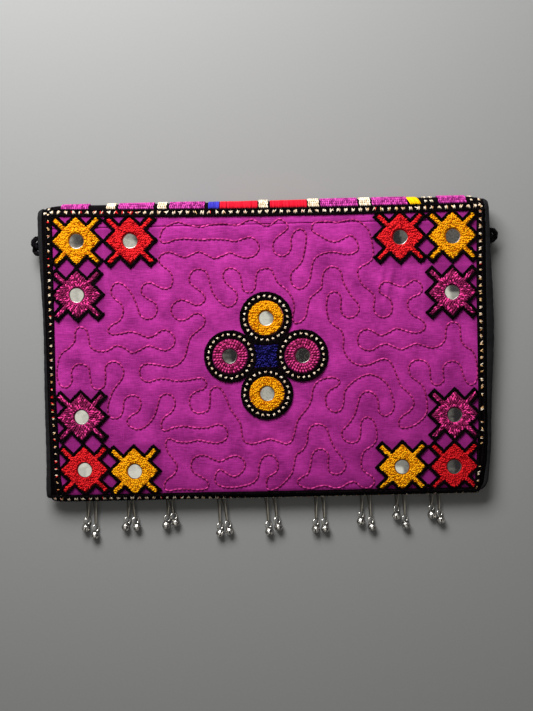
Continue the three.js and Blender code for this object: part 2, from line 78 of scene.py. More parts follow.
# The quilting is one closed line of running stitches, read as pixels (u, v) of the photograph.
QUILTING_PIXELS = [
    (160, 236), (163, 229), (169, 225), (178, 222), (188, 225), (200, 226.5), (212, 224.5),
    (222, 223.5), (230, 224.5), (238, 225), (246, 221), (252, 219.5), (258, 222), (265, 225.5),
    (271, 224.5), (276, 220.5), (280, 219), (285, 222), (288, 226.5), (284, 231.5), (277, 237),
    (273, 243), (273.5, 250), (277, 254.5), (283, 255.5), (288, 253), (291, 247), (291, 239),
    (294, 232), (300, 229), (305, 232), (306, 240), (304.5, 250), (302, 260), (297, 267), (292, 271.5),
    (290.5, 278), (293, 285), (299, 288.5), (305, 286), (309.5, 279), (311.5, 269), (313, 261),
    (318, 255.5), (326, 252.5), (335, 252), (346, 254), (354, 252.5), (358, 248.5), (357, 242),
    (353, 236.5), (348.5, 235.5), (342, 239), (335, 241.5), (328, 240), (320, 235.5), (314, 232),
    (311.5, 228), (314, 223), (322, 221.5), (330, 221.5), (337, 222.5), (345, 220.5), (353, 219.5),
    (360, 222), (367, 228), (370.5, 236), (372.5, 246), (373, 256), (369.5, 261.5), (361, 266.5),
    (357.5, 271), (359, 278), (363, 285), (371, 291.5), (374.5, 297), (373.5, 306), (375, 312.5),
    (380, 316.5), (386, 316.5), (391, 312.5), (392, 305), (389.5, 298.5), (383, 294.5), (379, 290.5),
    (380, 285), (385, 281.5), (391, 282.5), (398, 285.5), (404, 286), (410, 282), (415, 280),
    (420, 283), (422, 288.5), (419.5, 293.5), (412, 297), (407.5, 302), (408.5, 309), (413, 315),
    (420, 318.5), (425, 324), (423.5, 329.5), (417, 332.5), (409, 331.5), (401, 329), (395, 328.5),
    (387, 333), (380, 335), (374, 331.5), (367, 329), (360.5, 331.5), (357.5, 338), (359, 345),
    (365, 349.5), (372, 349.5), (379, 345.5), (386, 343.5), (393, 346), (401, 349), (408, 346.5),
    (416, 343.5), (424, 345.5), (432, 347.5), (440, 345), (445, 339), (445.5, 331), (447.5, 324.5),
    (452.5, 322), (458.5, 324), (460, 330), (461, 340), (466, 346.5), (472.5, 351), (476, 360),
    (477.5, 370), (476.5, 380), (471.5, 384.5), (466, 381), (462.5, 373), (460.5, 366), (456, 361.5),
    (449, 361.5), (443.5, 366), (443, 373), (443.5, 380), (438.5, 384.5), (432.5, 383), (430, 376),
    (429.5, 368), (425.5, 361.5), (418, 359.5), (411.5, 362), (408.5, 368), (411, 376), (417.5, 381),
    (423, 386), (425.5, 394), (427, 404), (426.5, 412), (422, 419), (414, 425), (406, 427.5),
    (400, 426.5), (398.5, 421.5), (402, 416), (409, 411), (413.5, 404.5), (412.5, 398), (407.5, 391.5),
    (401.5, 386.5), (398, 379), (394.5, 370), (390.5, 362), (384.5, 358.5), (377, 360.5), (369, 364),
    (360, 365), (352, 361.5), (346, 355), (343, 347), (343.5, 338), (341, 330), (334, 325),
    (329, 319.5), (326.5, 310), (326.5, 302), (328.5, 294.5), (333.5, 291.5), (338.5, 293), (341, 299),
    (340.5, 308), (343, 314.5), (349, 317.5), (355.5, 315), (359, 309), (357.5, 303), (352, 296.5),
    (346.5, 288), (342.5, 280), (341, 272.5), (337, 267.5), (330.5, 266.5), (324.5, 270.5), (322, 279),
    (321, 287.5), (316, 292.5), (310, 298), (307.5, 307), (305.5, 316), (300.5, 321.5), (294.5, 322.5),
    (292.5, 317), (294, 307), (292, 297.5), (286, 289), (277.5, 282), (273.5, 274), (270, 268.5),
    (263.5, 268.5), (257.5, 271.5), (255.5, 279), (255, 287), (250.5, 292), (243.5, 290), (241.5, 282),
    (239.5, 273.5), (234, 268.5), (227, 268.5), (223, 274), (225, 281.5), (232, 288), (236.5, 293),
    (236.5, 300), (232, 305.5), (226, 306), (219, 300.5), (212.5, 292), (209.5, 282), (206.5, 272.5),
    (201, 269), (194, 270), (189.5, 275.5), (190, 282.5), (196.5, 288), (203, 293.5), (205, 298.5),
    (201.5, 303.5), (195, 304.5), (188.5, 301.5), (181.5, 299.5), (174, 303), (171, 309.5),
    (173.5, 316), (180, 320), (187, 318.5), (193.5, 314), (199.5, 313.5), (204.5, 318), (203.5, 325),
    (197, 331), (190.5, 337), (187.5, 346), (184.5, 356.5), (178.5, 363.5), (170, 366.5), (160, 365),
    (150, 363.5), (142.5, 365), (139.5, 371), (142, 378.5), (148.5, 381.5), (157, 379), (165, 378.5),
    (175, 380.5), (186, 380), (195, 378.5), (202.5, 378), (206.5, 383), (203.5, 388.5), (195.5, 391.5),
    (190, 397), (190, 405.5), (195, 412), (202, 412.5), (208.5, 409), (210, 400), (210.5, 390.5),
    (216, 386.5), (221.5, 389.5), (226, 398), (230, 408), (235.5, 416), (240.5, 424), (242, 435),
    (245, 441.5), (252, 443.5), (261, 441.5), (270, 439), (278, 441), (286, 443.5), (291.5, 440.5),
    (294.5, 432), (297, 422), (301.5, 414.5), (308, 406.5), (311.5, 398), (313, 388.5), (318, 381),
    (327, 377.5), (335, 377.5), (339.5, 381), (337, 385.5), (329.5, 390), (325.5, 397), (327, 406),
    (333.5, 411.5), (340.5, 409.5), (343.5, 401.5), (344.5, 391.5), (350, 384), (359, 377.5),
    (369, 374), (379, 377), (387.5, 384.5), (391.5, 394), (394, 404.5), (391.5, 412), (385, 415.5),
    (379, 411.5), (378, 401), (374, 393.5), (367, 391), (360.5, 395), (357.5, 404), (354.5, 414),
    (348.5, 423.5), (342, 431), (343.5, 438.5), (351, 442.5), (358, 440), (360.5, 432), (361, 422),
    (366, 417), (372.5, 419.5), (376, 428), (376.5, 438), (372.5, 445), (365, 450), (361.5, 457),
    (361.5, 467), (366, 472.5), (373, 477.5), (374, 483.5), (368.5, 488.5), (362, 487.5), (356, 482.5),
    (349.5, 482.5), (342, 487), (335, 488.5), (327, 486), (319, 486.5), (311, 489), (302.5, 487),
    (297.5, 482), (301.5, 477), (308, 473), (310.5, 464), (312, 455), (316.5, 449.5), (323, 449),
    (328, 454), (328, 463), (329, 470.5), (335, 474), (342, 472), (345.5, 465), (342, 457.5),
    (335, 448.5), (330, 438), (326, 427.5), (319.5, 424), (312, 425.5), (308, 431.5), (307, 441),
    (303, 449), (296, 455), (294, 464), (291.5, 473), (284.5, 482), (276, 489), (269, 490.5),
    (266.5, 484), (268, 477), (275.5, 472), (278, 465.5), (275.5, 457.5), (269, 454.5), (262.5, 457.5),
    (259, 466), (258, 476), (253, 482.5), (243, 486), (233, 487.5), (222, 486.5), (215.5, 482),
    (215.5, 474.5), (220, 469.5), (226, 472.5), (233, 476), (240, 473.5), (245, 466), (242.5, 458.5),
    (235, 455.5), (227, 458), (220, 461), (212.5, 458.5), (204, 455), (195, 457), (191, 464),
    (193.5, 472), (202, 477), (208, 482), (207, 488), (199, 490), (188, 489.5), (177, 489.5),
    (168, 491), (164, 486), (167, 479.5), (174, 474), (177, 466), (173, 459), (167.5, 451),
    (165.5, 443), (169.5, 438.5), (178, 441.5), (188, 442), (198, 440), (209, 442), (219, 442.5),
    (226.5, 437.5), (226.5, 429), (219, 424), (208, 427), (196, 427.5), (184, 426), (173, 427.5),
    (165, 430.5), (161, 425), (164, 417.5), (171.5, 411.5), (175, 404), (173, 396.5), (167, 393.5),
    (160.5, 396.5), (157.5, 406), (154, 416), (147, 425), (138, 429), (130, 426), (127, 420.5),
    (131.5, 415), (138.5, 410.5), (141, 402.5), (137, 396), (129.5, 395.5), (124, 400.5), (123, 410),
    (119, 417), (111.5, 417.5), (107.5, 410), (110, 398), (114.5, 388), (121.5, 379), (123.5, 370.5),
    (119, 363), (111.5, 361.5), (105.5, 366.5), (105.5, 376), (104.5, 385), (99, 389), (92.5, 386.5),
    (90, 377), (88.5, 367.5), (82, 364), (75.5, 365), (71.5, 371), (72, 380), (68, 386.5), (61, 385.5),
    (57, 377), (57.5, 364), (61, 354), (69, 347.5), (74.5, 341), (75.5, 331.5), (79.5, 327),
    (86, 329.5), (88.5, 338), (91, 347), (99, 351), (108, 350), (116, 345.5), (124, 347.5),
    (132, 352.5), (140, 349.5), (148.5, 345.5), (157, 348), (165.5, 350), (173, 345.5), (174.5, 337.5),
    (169, 331), (162, 330), (155, 334.5), (148, 337), (139, 333.5), (130, 331.5), (120, 333.5),
    (112, 334), (108, 330.5), (111.5, 325), (119, 320.5), (123, 313), (121.5, 304.5), (115.5, 299),
    (111, 292.5), (113, 285), (119, 282.5), (126.5, 287), (133, 296), (137, 306), (140.5, 315),
    (147, 318.5), (154, 316.5), (157, 309), (154.5, 302.5), (147.5, 298.5), (141.5, 292.5), (143, 285),
    (150, 282.5), (157, 285.5), (164, 288.5), (170.5, 286.5), (172.5, 279), (169.5, 271), (162, 265),
    (158.5, 259.5), (162, 254), (169.5, 252), (177, 254.5), (184.5, 257), (192, 254), (199, 251.5),
    (206.5, 254.5), (214, 258), (222, 255.5), (230, 252.5), (238, 255.5), (246, 257.5), (254.5, 255),
    (259, 248), (256.5, 240.5), (250, 237), (243, 238.5), (235, 241), (226, 239.5), (214, 239),
    (200, 239.5), (186, 238.5), (175, 239.5), (168, 242), (161.5, 242),
]

# Stitch sizes in millimetres.
QUILTING_STITCH, QUILTING_GAP, QUILTING_THREAD = 2.7, 0.1, 1.0
FILL_SLANT, FILL_SLIP, FILL_DRIFT, FILL_LEAN = 0.3, 0.3, 0.17, 0.4
CHAIN_THREAD, CHAIN_PITCH, CHAIN_SINK, CHAIN_LIFT, CHAIN_RISE = 0.98, 1.75, 0.2, 0.05, 0.22
SQUARE_THREAD, SQUARE_PITCH = 0.62, 4.45

# Fill stitches of each thread: thickness, length, step along the row, row spacing and share of dark ones.
# The dark stitches are painted shade, and the light magenta ones are painted glints.
FILLS = {
    "marigold": (0.88, 1.6, 1.35, 0.94, 0.22), "red": (0.88, 1.6, 1.35, 0.94, 0.2),
    "magenta": (1.0, 2.1, 1.6, 1.15, 0.7), "rose": (1.2, 1.6, 1.75, 1.7, 0.25),
    "blue": (0.86, 1.6, 1.5, 1.06, 0.5),
}

# Embroidery sizes as in the part.
STAR_TIP, STAR_ARM_REACH, STAR_ARM_WIDTH = 14.9, 13.4, 2.8
OUTLINE_WIDTH = 1.9
MIRROR_RADIUS = 4.5
RING_OUTER, RING_INNER = 16.3, 10.9
CENTRE_SIDE, CENTRE_HOLLOW, CENTRE_FILL = 7.6, 2.0, 11.3
SIDE_BORDER_X, SIDE_BORDER_HALF = 134.0, 2.1
TOP_BORDER_S, TOP_BORDER_LEAN, TOP_BORDER_HALF, TOP_BORDER_SAG = 85.6, -0.009, 2.45, 1.9
BOTTOM_BORDER_S, BOTTOM_BORDER_LEAN, BOTTOM_BORDER_HALF = -92.5, -0.006, 2.2
BAND_END = TOP_Y + SPINE_RADIUS * math.radians(125)

CORNERS = ("top_left", "top_right", "bottom_left", "bottom_right")
STAR_THREADS = {
    "marigold": ("top_left_corner", "top_right_corner", "bottom_left_inner", "bottom_right_inner"),
    "red": ("top_left_inner", "top_right_inner", "bottom_left_corner", "bottom_right_corner"),
    "magenta": ("top_left_side", "top_right_side", "bottom_left_side", "bottom_right_side"),
}
DISC_THREADS = {"marigold": ("top", "bottom"), "rose": ("left", "right")}

# Threads of some stars are lighter or darker than the rest of their colour.
STAR_SHADES = {"bottom_right_corner": -0.3, "bottom_left_inner": 0.15, "bottom_right_inner": 0.1}

# Each sewn mirror: its lean in degrees about x and y, how dulled its silvering is, partly by age and partly
# as painted shade for the darker surroundings it reflects, and the bearing in degrees of the side of its
# hole that it lies away from.
MIRROR_LEANS = {
    "top_left_corner": (-2.6, 4.0, 0.75, 135), "top_left_inner": (-1.0, 1.0, 0.3, 135),
    "top_left_side": (1.0, -1.5, 0.0, 45), "top_right_corner": (0.0, 1.0, 0.75, 120),
    "top_right_inner": (2.0, 1.0, 0.6, 100), "top_right_side": (3.0, -5.0, 0.0, 45),
    "bottom_left_corner": (1.0, -1.0, 0.0, 200), "bottom_left_inner": (0.0, 0.5, 0.02, 180),
    "bottom_left_side": (1.0, 0.0, 0.0, 180), "bottom_right_corner": (1.0, 3.0, 0.7, 20),
    "bottom_right_inner": (0.4, 1.6, 0.0, 330), "bottom_right_side": (2.0, 3.0, 0.7, 60),
    "rosette_top": (0.5, -1.0, 0.1, 120), "rosette_bottom": (-0.5, 0.5, 0.55, 200),
    "rosette_left": (0.0, 5.0, 0.7, 330), "rosette_right": (-2.0, 3.0, 0.8, 180),
}
MIRROR_SHIFT = 0.3

# Blocks of the spine band from left to right: thread and the block's two ends across the flap.
SPINE_BLOCKS = [
    ("pink", -125.1, -107.9), ("cream", -96.9, -90.4), ("pink", -89.4, -66.6), ("cream", -65.3, -58.8),
    ("pink", -57.9, -35.4), ("blue", -34.1, -27.4), ("red", -26.8, -3.7), ("cream", -2.7, 3.7),
    ("red", 4.3, 27.1), ("cream", 27.7, 34.7), ("pink", 35.4, 58.5), ("cream", 59.4, 66.6),
    ("pink", 67.2, 89.9), ("marigold", 90.6, 97.6), ("pink", 108.2, 126.2),
]
SPINE_DOTTED = [(98.6, 107.6), (126.8, 133.0)]

# Bells as in the part: the bell's place and where its thread leaves the flap's lower edge.
BELL_RADIUS = 2.75
BELL_RING_RADIUS, BELL_RING_WIRE, BELL_RING_TILT, BELL_RING_Z = 2.0, 0.48, math.radians(32), 2.2
BELL_THREAD, THREAD_APART, THREAD_CLOSE, THREAD_WIDE = 0.4, 0.75, 0.3, 1.7
# Each thread's two strands by side: one painted dark as its shadow, one painted lighter as its lit side.
STRAND_SHADE_AND_LIGHT = {-1: 0.02, 1: 0.5}
THREAD_START_Y, THREAD_START_Z, THREAD_MID_Y, THREAD_MID_Z, THREAD_MID_SHARE = -91.6, 4.15, -98.0, 3.6, 0.4
BELL_PAIRS = [
    ((-117.4, -111.6, -115), (-111.6, -116.2, -110.8)), ((-92, -111.6, -89.2), (-85, -111.7, -88)),
    ((-66.3, -111, -64.4), (-60.4, -109.7, -63.3)), ((-32.1, -116.8, -32.6), (-26.2, -115.6, -30.2)),
    ((-0.9, -116.6, -2.8), (5, -113.8, 2.2)), ((28.7, -115.7, 29.2), (34.7, -115.5, 33.4)),
    ((57.5, -111.6, 58.3), (64.4, -115.2, 62.4)), ((80.2, -108.6, 80.4), (85.9, -114.5, 84.6)),
    ((102.6, -108.4, 102.4), (108.2, -111.8, 106.6)),
]

# Pouch, bindings and knots as in the part.
POUCH_HALF_WIDTH, POUCH_SIDE_ROUND, POUCH_FOLD_Y, POUCH_FOLD_ROUND = 132.0, 7.1, -85.9, 4.3
POUCH_WALL, POUCH_LIP_Y, CLEARANCE = 1.5, 78.0, 0.3
BINDING_X, BINDING_HALF_WIDTH, BINDING_H, BINDING_HALF_HEIGHT = 138.25, 1.75, -1.1, 1.9
KNOT_RADIUS, KNOT_CORD, KNOT_X, KNOT_Y, KNOT_Z, KNOT_STUB_END = 3.5, 1.6, 140.6, 67.6, 7.7, 138.0


# The flap's surface

def smooth(value, low, high):
    """Rises smoothly from 0 at low to 1 at high."""
    t = np.clip((value - low) / (high - low), 0, 1)
    return t * t * (3 - 2 * t)


def hump(away, half, power=2):
    """A round hump: 1 where away is 0, fading beyond half."""
    return np.exp(-((away / half) ** power))


def crown(x, s):
    """How far the padded middle of the flap stands above the slope."""
    across, along = (np.maximum(0, 1 - share**2) for share in (x / PANEL_HALF_WIDTH, s / TOP_Y))
    return CROWN_HEIGHT * across * along


def side_fall(x, s):
    """How far the flap's sides drop, less under the spine and at the curl."""
    t = np.maximum(0, np.abs(x) - FLAP_HALF_WIDTH + FALL_WIDTH) / FALL_WIDTH
    under = smooth(s, TOP_Y + SPINE_RADIUS * math.pi / 2, SPINE_END)
    curl = smooth(-s, FALL_CURL_FROM, -CURL_START)
    return FALL_DEPTH * (1 - (1 - FALL_UNDER_SPINE) * under - (1 - FALL_AT_CURL) * curl) * t * t


def on_flap(x, s, h=0.0):
    """Points in metres at height h over the flap's outer face, x across the flap and s along it."""
    x, s, h = np.broadcast_arrays(np.asarray(x, float), np.asarray(s, float), np.asarray(h, float))
    drawn = CORNER_DRAW * smooth(-s, *CORNER_DRAW_REACH) + CORNER_ROUND * smooth(-s, *CORNER_ROUND_REACH)
    x = x - drawn * smooth(x, CORNER_FROM, FLAP_HALF_WIDTH)
    start = math.pi / 2 + SLOPE
    spine = s > TOP_Y
    straight = np.maximum(s, CURL_START) - TOP_Y
    angle = np.where(
        spine, start - (s - TOP_Y) / SPINE_RADIUS, start + np.maximum(0, CURL_START - s) / CURL_RADIUS
    )
    radius = np.where(spine, SPINE_RADIUS, CURL_RADIUS)
    y = np.where(spine, SPINE_Y, TOP_Y + straight * math.cos(SLOPE) - CURL_RADIUS * math.cos(start))
    z = np.where(spine, SPINE_Z, TOP_Z + straight * math.sin(SLOPE) - CURL_RADIUS * math.sin(start))
    out = radius + crown(x, s) - side_fall(x, s) + h
    return np.stack([x, y + out * np.cos(angle), z + out * np.sin(angle)], -1) * MM


def flap_place(pixels):
    """Where pixels of the photograph fall on the flap, as x across it and s along it."""
    du, dv = (np.asarray(pixels, float) - (MIDDLE_U, MIDDLE_V)).T
    z = np.full(len(du), SPINE_Z)
    for _ in range(5):
        scale = (EYE_Z - z) / FOCAL_PX
        x = EYE_X + scale * (du * math.cos(ROLL) - dv * math.sin(ROLL))
        y = EYE_Y - scale * (du * math.sin(ROLL) + dv * math.cos(ROLL))
        s = TOP_Y + (y - TOP_Y) / math.cos(SLOPE)
        z = TOP_Z + (s - TOP_Y) * math.sin(SLOPE) + crown(x, s)
    return np.stack([x, s], -1)


def motif_place(node_name):
    """The middle of a sewn-on solid, as x across the flap and s along it."""
    low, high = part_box(node_name)
    x, y, _ = (low + high) / 2 / MM
    return np.array([x, TOP_Y + (y - TOP_Y) / math.cos(SLOPE)])


# Soft pleats and pulls of the cloth in millimetres: both ends, half width and height.
CLOTH_PLEATS = [
    ((80, 53), (73, 22), 1.8, 0.85), ((74, 50), (68, 26), 1.6, 0.6), ((88, 49), (84, 24), 2.0, 0.65),
    ((-126, 22), (-112, 20), 2.2, 0.3), ((-127, 12), (-110, 11), 2.0, 0.3),
    ((-127, -3), (-112, -5), 2.0, 0.3), ((-127, -14), (-114, -15), 2.0, 0.3),
    ((112, 8), (118, -20), 2.6, 0.3), ((104, 14), (106, -14), 2.6, -0.25),
    ((36, 52), (37, 30), 2.4, 0.3), ((52, 40), (49, 10), 2.4, 0.25), ((-32, 60), (-34, 40), 2.6, 0.25),
    ((-70, 70), (-30, 69), 2.0, 0.2), ((20, 62), (60, 60), 2.2, 0.2), ((-60, -78), (40, -80), 3.0, 0.35),
    ((-10, 40), (-2, 26), 2.4, 0.25), ((60, -60), (74, -84), 3.0, 0.3), ((-4, -70), (30, -84), 3.0, 0.25),
]
CREASE_RIDGE, RIDGE_BELOW, RIDGE_HALF = 0.16, 1.6, 1.2
LOWER_DIP, UPPER_DIP, SLOW_RIPPLE, QUICK_RIPPLE = 1.3, 0.5, 0.10, 0.06


def lie(x, s):
    """How high the cloth lies over the plain flap: the crease near the spine, slow ripples and pleats."""
    lift = -CREASE_DEPTH * hump(s - CREASE_AT, CREASE_WIDTH)
    lift += CREASE_RIDGE * hump(s - CREASE_AT + RIDGE_BELOW, RIDGE_HALF)
    lift -= LOWER_DIP * np.clip((-s - 72) / 20, 0, 1) ** 2 + UPPER_DIP * smooth(s, 75, 85)
    lift += SLOW_RIPPLE * np.sin(x / 9.1 + 0.6 * np.sin(s / 13.0)) * np.sin(s / 11.3 + 1.1)
    quick = np.sin(x / 3.7 + s / 6.1 + 0.8 * np.sin(x / 17.0)) * np.sin(s / 4.9 - x / 23.0)
    lift += QUICK_RIPPLE * quick
    for (x0, s0), (x1, s1), half, height in CLOTH_PLEATS:
        dx, ds = x1 - x0, s1 - s0
        along = np.clip(((x - x0) * dx + (s - s0) * ds) / (dx * dx + ds * ds), 0, 1)
        away = np.hypot(x - x0 - along * dx, s - s0 - along * ds)
        lift += height * np.sin(math.pi * np.clip(along, 0.04, 0.96)) * hump(away, half)
    return lift * smooth(s, CURL_END, CURL_START)


# Mesh making

def add_piece(name, points, faces, finish, slot, stands_for=(), **facts):
    """A piece from points in metres and faces; facts are values at its points that its material reads."""
    mesh = bpy.data.meshes.new(name)
    mesh.from_pydata(points.tolist(), [], faces.tolist() if isinstance(faces, np.ndarray) else faces)
    turned = bmesh.new()
    turned.from_mesh(mesh)
    bmesh.ops.recalc_face_normals(turned, faces=turned.faces)
    turned.to_mesh(mesh)
    turned.free()
    for fact, values in facts.items():
        vector = np.ndim(values) == 2
        made = mesh.attributes.new(fact, "FLOAT_VECTOR" if vector else "FLOAT", "POINT")
        made.data.foreach_set("vector" if vector else "value", np.ravel(values).astype(np.float32))
    mesh.shade_smooth()
    mesh.materials.append(finish)
    piece = bpy.data.objects.new(name, mesh)
    bpy.context.scene.collection.objects.link(piece)
    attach(piece, "root")
    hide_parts(*stands_for)
    return piece


def gather(parts):
    """Several (points, faces, tones) as one."""
    points, faces, tones, offset = [], [], [], 0
    for part_points, part_faces, part_tones in parts:
        points.append(part_points)
        corners = part_faces.tolist() if isinstance(part_faces, np.ndarray) else part_faces
        faces.extend([corner + offset for corner in face] for face in corners)
        tones.append(np.broadcast_to(part_tones, len(part_points)))
        offset += len(part_points)
    return np.concatenate(points), faces, np.concatenate(tones)


def unit(rows):
    """Rows scaled to length 1."""
    return rows / np.maximum(np.linalg.norm(rows, axis=1, keepdims=True), 1e-9)


def lengths(path):
    """How far along a path each of its points lies."""
    return np.concatenate([[0], np.cumsum(np.linalg.norm(np.diff(path, axis=0), axis=1))])


def bearings(turn):
    """Directions at these angles."""
    return np.column_stack([np.cos(turn), np.sin(turn)])


def leftward(ahead):
    """Directions a quarter turn to the left of these."""
    return np.column_stack([-ahead[:, 1], ahead[:, 0]])


def heights(flat, height):
    """Flat points with a height."""
    return np.column_stack([flat, np.full(len(flat), height)])


def circle(radius, count):
    """Points round a circle."""
    return radius * bearings(2 * math.pi * np.arange(count) / count)


def rings_to_quads(count, rings, sides):
    """Quads and end caps for count tubes, each of so many rings of six or another even number of sides."""
    first = np.arange(count)[:, None, None] * rings * sides
    row = first + np.arange(rings - 1)[None, :, None] * sides
    side = np.arange(sides)
    after = (side + 1) % sides
    walls = np.stack([row + side, row + after, row + after + sides, row + side + sides], -1).reshape(-1, 4)
    cap = np.array([[0, k, k + 1, k + 2] for k in range(1, sides - 2, 2)])
    starts = (np.arange(count) * rings * sides)[:, None, None]
    first_caps = (starts + cap[:, ::-1]).reshape(-1, 4)
    last_caps = (starts + (rings - 1) * sides + cap).reshape(-1, 4)
    return np.concatenate([walls, first_caps, last_caps])


STITCH_RINGS, STITCH_SIDES = 3, 6
# A stitch is thinner at its ends, where it goes into the cloth: places along it and shares of its thickness.
STITCH_TAPER = [0, 0.25, 0.75, 1], [0.6, 1, 1, 0.6]


def stitches(starts, ends, width, rise, rings=STITCH_RINGS):
    """Bent lengths of thread between flat points (x, s, h)."""
    starts, ends = np.asarray(starts, float), np.asarray(ends, float)
    share = np.linspace(0, 1, rings)
    middle = starts[:, None] + (ends - starts)[:, None] * share[:, None]
    across = heights(leftward(unit(ends[:, :2] - starts[:, :2])), 0.0)
    middle[..., 2] += rise * np.sin(math.pi * share)
    thick = np.broadcast_to(width, len(starts))[:, None] / 2 * np.interp(share, *STITCH_TAPER)
    turn = 2 * math.pi * np.arange(STITCH_SIDES) / STITCH_SIDES
    around = np.cos(turn)[:, None] * across[:, None, None] + np.sin(turn)[:, None] * np.array([0, 0, 1.0])
    points = middle[:, :, None] + thick[..., None, None] * around
    return points.reshape(-1, 3), rings_to_quads(len(starts), rings, STITCH_SIDES)


def sew(points):
    """Flat points (x, s, h) laid on the cloth, in metres."""
    x, s, h = points.T
    return on_flap(x, s, h + lie(x, s))


def each_point(values, rings=STITCH_RINGS):
    """A value of each stitch, given to all its points."""
    return np.repeat(values, rings * STITCH_SIDES)


def stitch_tones(count, rings=STITCH_RINGS):
    """A random tone for each stitch, the same at all its points."""
    return each_point(rng.random(count), rings)


def placed(made, place, tone):
    """A ready flat part moved to its place on the flap, all in one tone."""
    points, faces = made
    return points + (*place, 0), faces, tone


def sew_piece(name, parts, finish, slot, stands_for=()):
    """One piece from flat parts that are sewn on the flap."""
    points, faces, tone = gather(parts)
    add_piece(name, sew(points), faces, finish, slot, stands_for, tone=tone)


def carried_frames(path, aside):
    """Two directions across a path at each of its points, which turn as little as they can."""
    ahead = unit(np.gradient(path, axis=0))
    across = np.cross(ahead[0], aside)
    frames = []
    for way in ahead:
        across = across - way * across.dot(way)
        across /= np.linalg.norm(across)
        frames.append((across, np.cross(way, across)))
    return np.array(frames)


def tube(path, radius, sides):
    """A closed tube of round section along points in millimetres."""
    frames = carried_frames(path, (0, 0, 1.0))
    turn = 2 * math.pi * np.arange(sides) / sides
    around = np.cos(turn)[:, None] * frames[:, :1] + np.sin(turn)[:, None] * frames[:, 1:]
    rings = path[:, None] + radius * around
    return rings.reshape(-1, 3), rings_to_quads(1, len(path), sides)


def smooth_path(corners, steps, closed=False):
    """A smooth curve through points, with so many steps between each two of them."""
    points = np.asarray(corners, float)
    if closed:
        padded = np.concatenate([points[-1:], points, points[:2]])
    else:
        padded = np.concatenate([2 * points[:1] - points[1:2], points, 2 * points[-1:] - points[-2:-1]])
    t = np.linspace(0, 1, steps, endpoint=False)[:, None]
    pieces = []
    for i in range(len(padded) - 3):
        a, b, c, d = padded[i:i + 4]
        bend, twist = 2 * a - 5 * b + 4 * c - d, 3 * b - a - 3 * c + d
        pieces.append(0.5 * (2 * b + (c - a) * t + bend * t**2 + twist * t**3))
    if not closed:
        pieces.append(points[-1:])
    return np.concatenate(pieces)


def evenly(path, pitch, closed=False):
    """Points and directions at even steps along a path of two columns."""
    path = np.asarray(path, float)
    if closed:
        path = np.concatenate([path, path[:1]])
    length = lengths(path)
    count = max(2, round(length[-1] / pitch))
    at = np.linspace(0, length[-1], count, endpoint=False) + (0 if closed else length[-1] / count / 2)
    reach = pitch * 0.35
    ends = [np.stack([np.interp(np.clip(at + d, 0, length[-1]), length, path[:, k]) for k in (0, 1)], -1)
            for d in (-reach, 0, reach)]
    return ends[1], unit(ends[2] - ends[0])


def chain(path, width, height, closed=False):
    """A row of chain stitch along a path, as flat points, faces and tones: each link is two strands."""
    at, ahead = evenly(path, CHAIN_PITCH, closed)
    left = leftward(ahead)
    starts, ends = [], []
    for side in (-1, 1):
        jitter = rng.normal(0, 0.16, (len(at), 1))
        spread = side * (width - CHAIN_THREAD) / 2
        near = at - ahead * CHAIN_PITCH * 0.5 + left * spread * 0.25
        far = at + ahead * CHAIN_PITCH * 0.75 + left * (spread + jitter)
        starts.append(heights(near, height - CHAIN_SINK))
        ends.append(heights(far, height + CHAIN_LIFT))
    made = stitches(np.concatenate(starts), np.concatenate(ends), CHAIN_THREAD, CHAIN_RISE)
    return (*made, stitch_tones(2 * len(at)))


def ring_slab(inner, outer, low, high):
    """A flat closed band between two outlines of equal counts, from height low to high."""
    inner, outer = np.asarray(inner, float), np.asarray(outer, float)
    n = len(inner)
    loops = [(inner, low), (inner, high), (outer, high), (outer, low)]
    points = np.concatenate([heights(line, h) for line, h in loops])
    k = np.arange(n)
    after = (k + 1) % n
    quads = []
    for a, b in ((0, 1), (1, 2), (2, 3), (3, 0)):
        quads.append(np.stack([a * n + k, b * n + k, b * n + after, a * n + after], -1))
    return points, np.concatenate(quads)[:, ::-1]


def grid_cells(index):
    """The quads of a grid of point numbers."""
    return np.stack([index[:-1, :-1], index[:-1, 1:], index[1:, 1:], index[1:, :-1]], -1).reshape(-1, 4)


def rim_of(index):
    """The point numbers round a grid's rim."""
    return np.concatenate([index[0, :-1], index[:-1, -1], index[-1, :0:-1], index[:0:-1, 0]])


def slab(xs, ss, low, high):
    """A closed sheet over a grid of x and s stations, from height low to high."""
    x, s = np.meshgrid(xs, ss)
    flat = np.column_stack([x.ravel(), s.ravel()])
    points = np.concatenate([heights(flat, h) for h in (low, high)])
    index = np.arange(x.size).reshape(x.shape)
    cells, rim = grid_cells(index), rim_of(index)
    after = np.roll(rim, -1)
    top = x.size
    walls = np.stack([rim, after, after + top, rim + top], -1)
    return points, np.concatenate([cells[:, ::-1], cells + top, walls])


# Materials

def linear(hex_colour):
    """An sRGB hex colour as linear red, green, blue and alpha."""
    channels = [int(hex_colour[i:i + 2], 16) / 255 for i in (1, 3, 5)]
    return [c / 12.92 if c <= 0.04045 else ((c + 0.055) / 1.055) ** 2.4 for c in channels] + [1.0]


def add_node(tree, kind, inputs=None, **settings):
    """Adds a node with its settings; an input given as a socket is linked, any other value is set."""
    made = tree.nodes.new(kind)
    for name, value in settings.items():
        setattr(made, name, value)
    for name, value in (inputs or {}).items():
        if isinstance(value, bpy.types.NodeSocket):
            tree.links.new(value, made.inputs[name])
        else:
            made.inputs[name].default_value = value
    return made


def new_finish(name):
    """An empty material and its node tree."""
    finish = bpy.data.materials.new(name)
    finish.use_nodes = True
    finish.node_tree.nodes.clear()
    return finish, finish.node_tree


FACTOR, MIX_A, MIX_B, MIXED = 0, 6, 7, 2


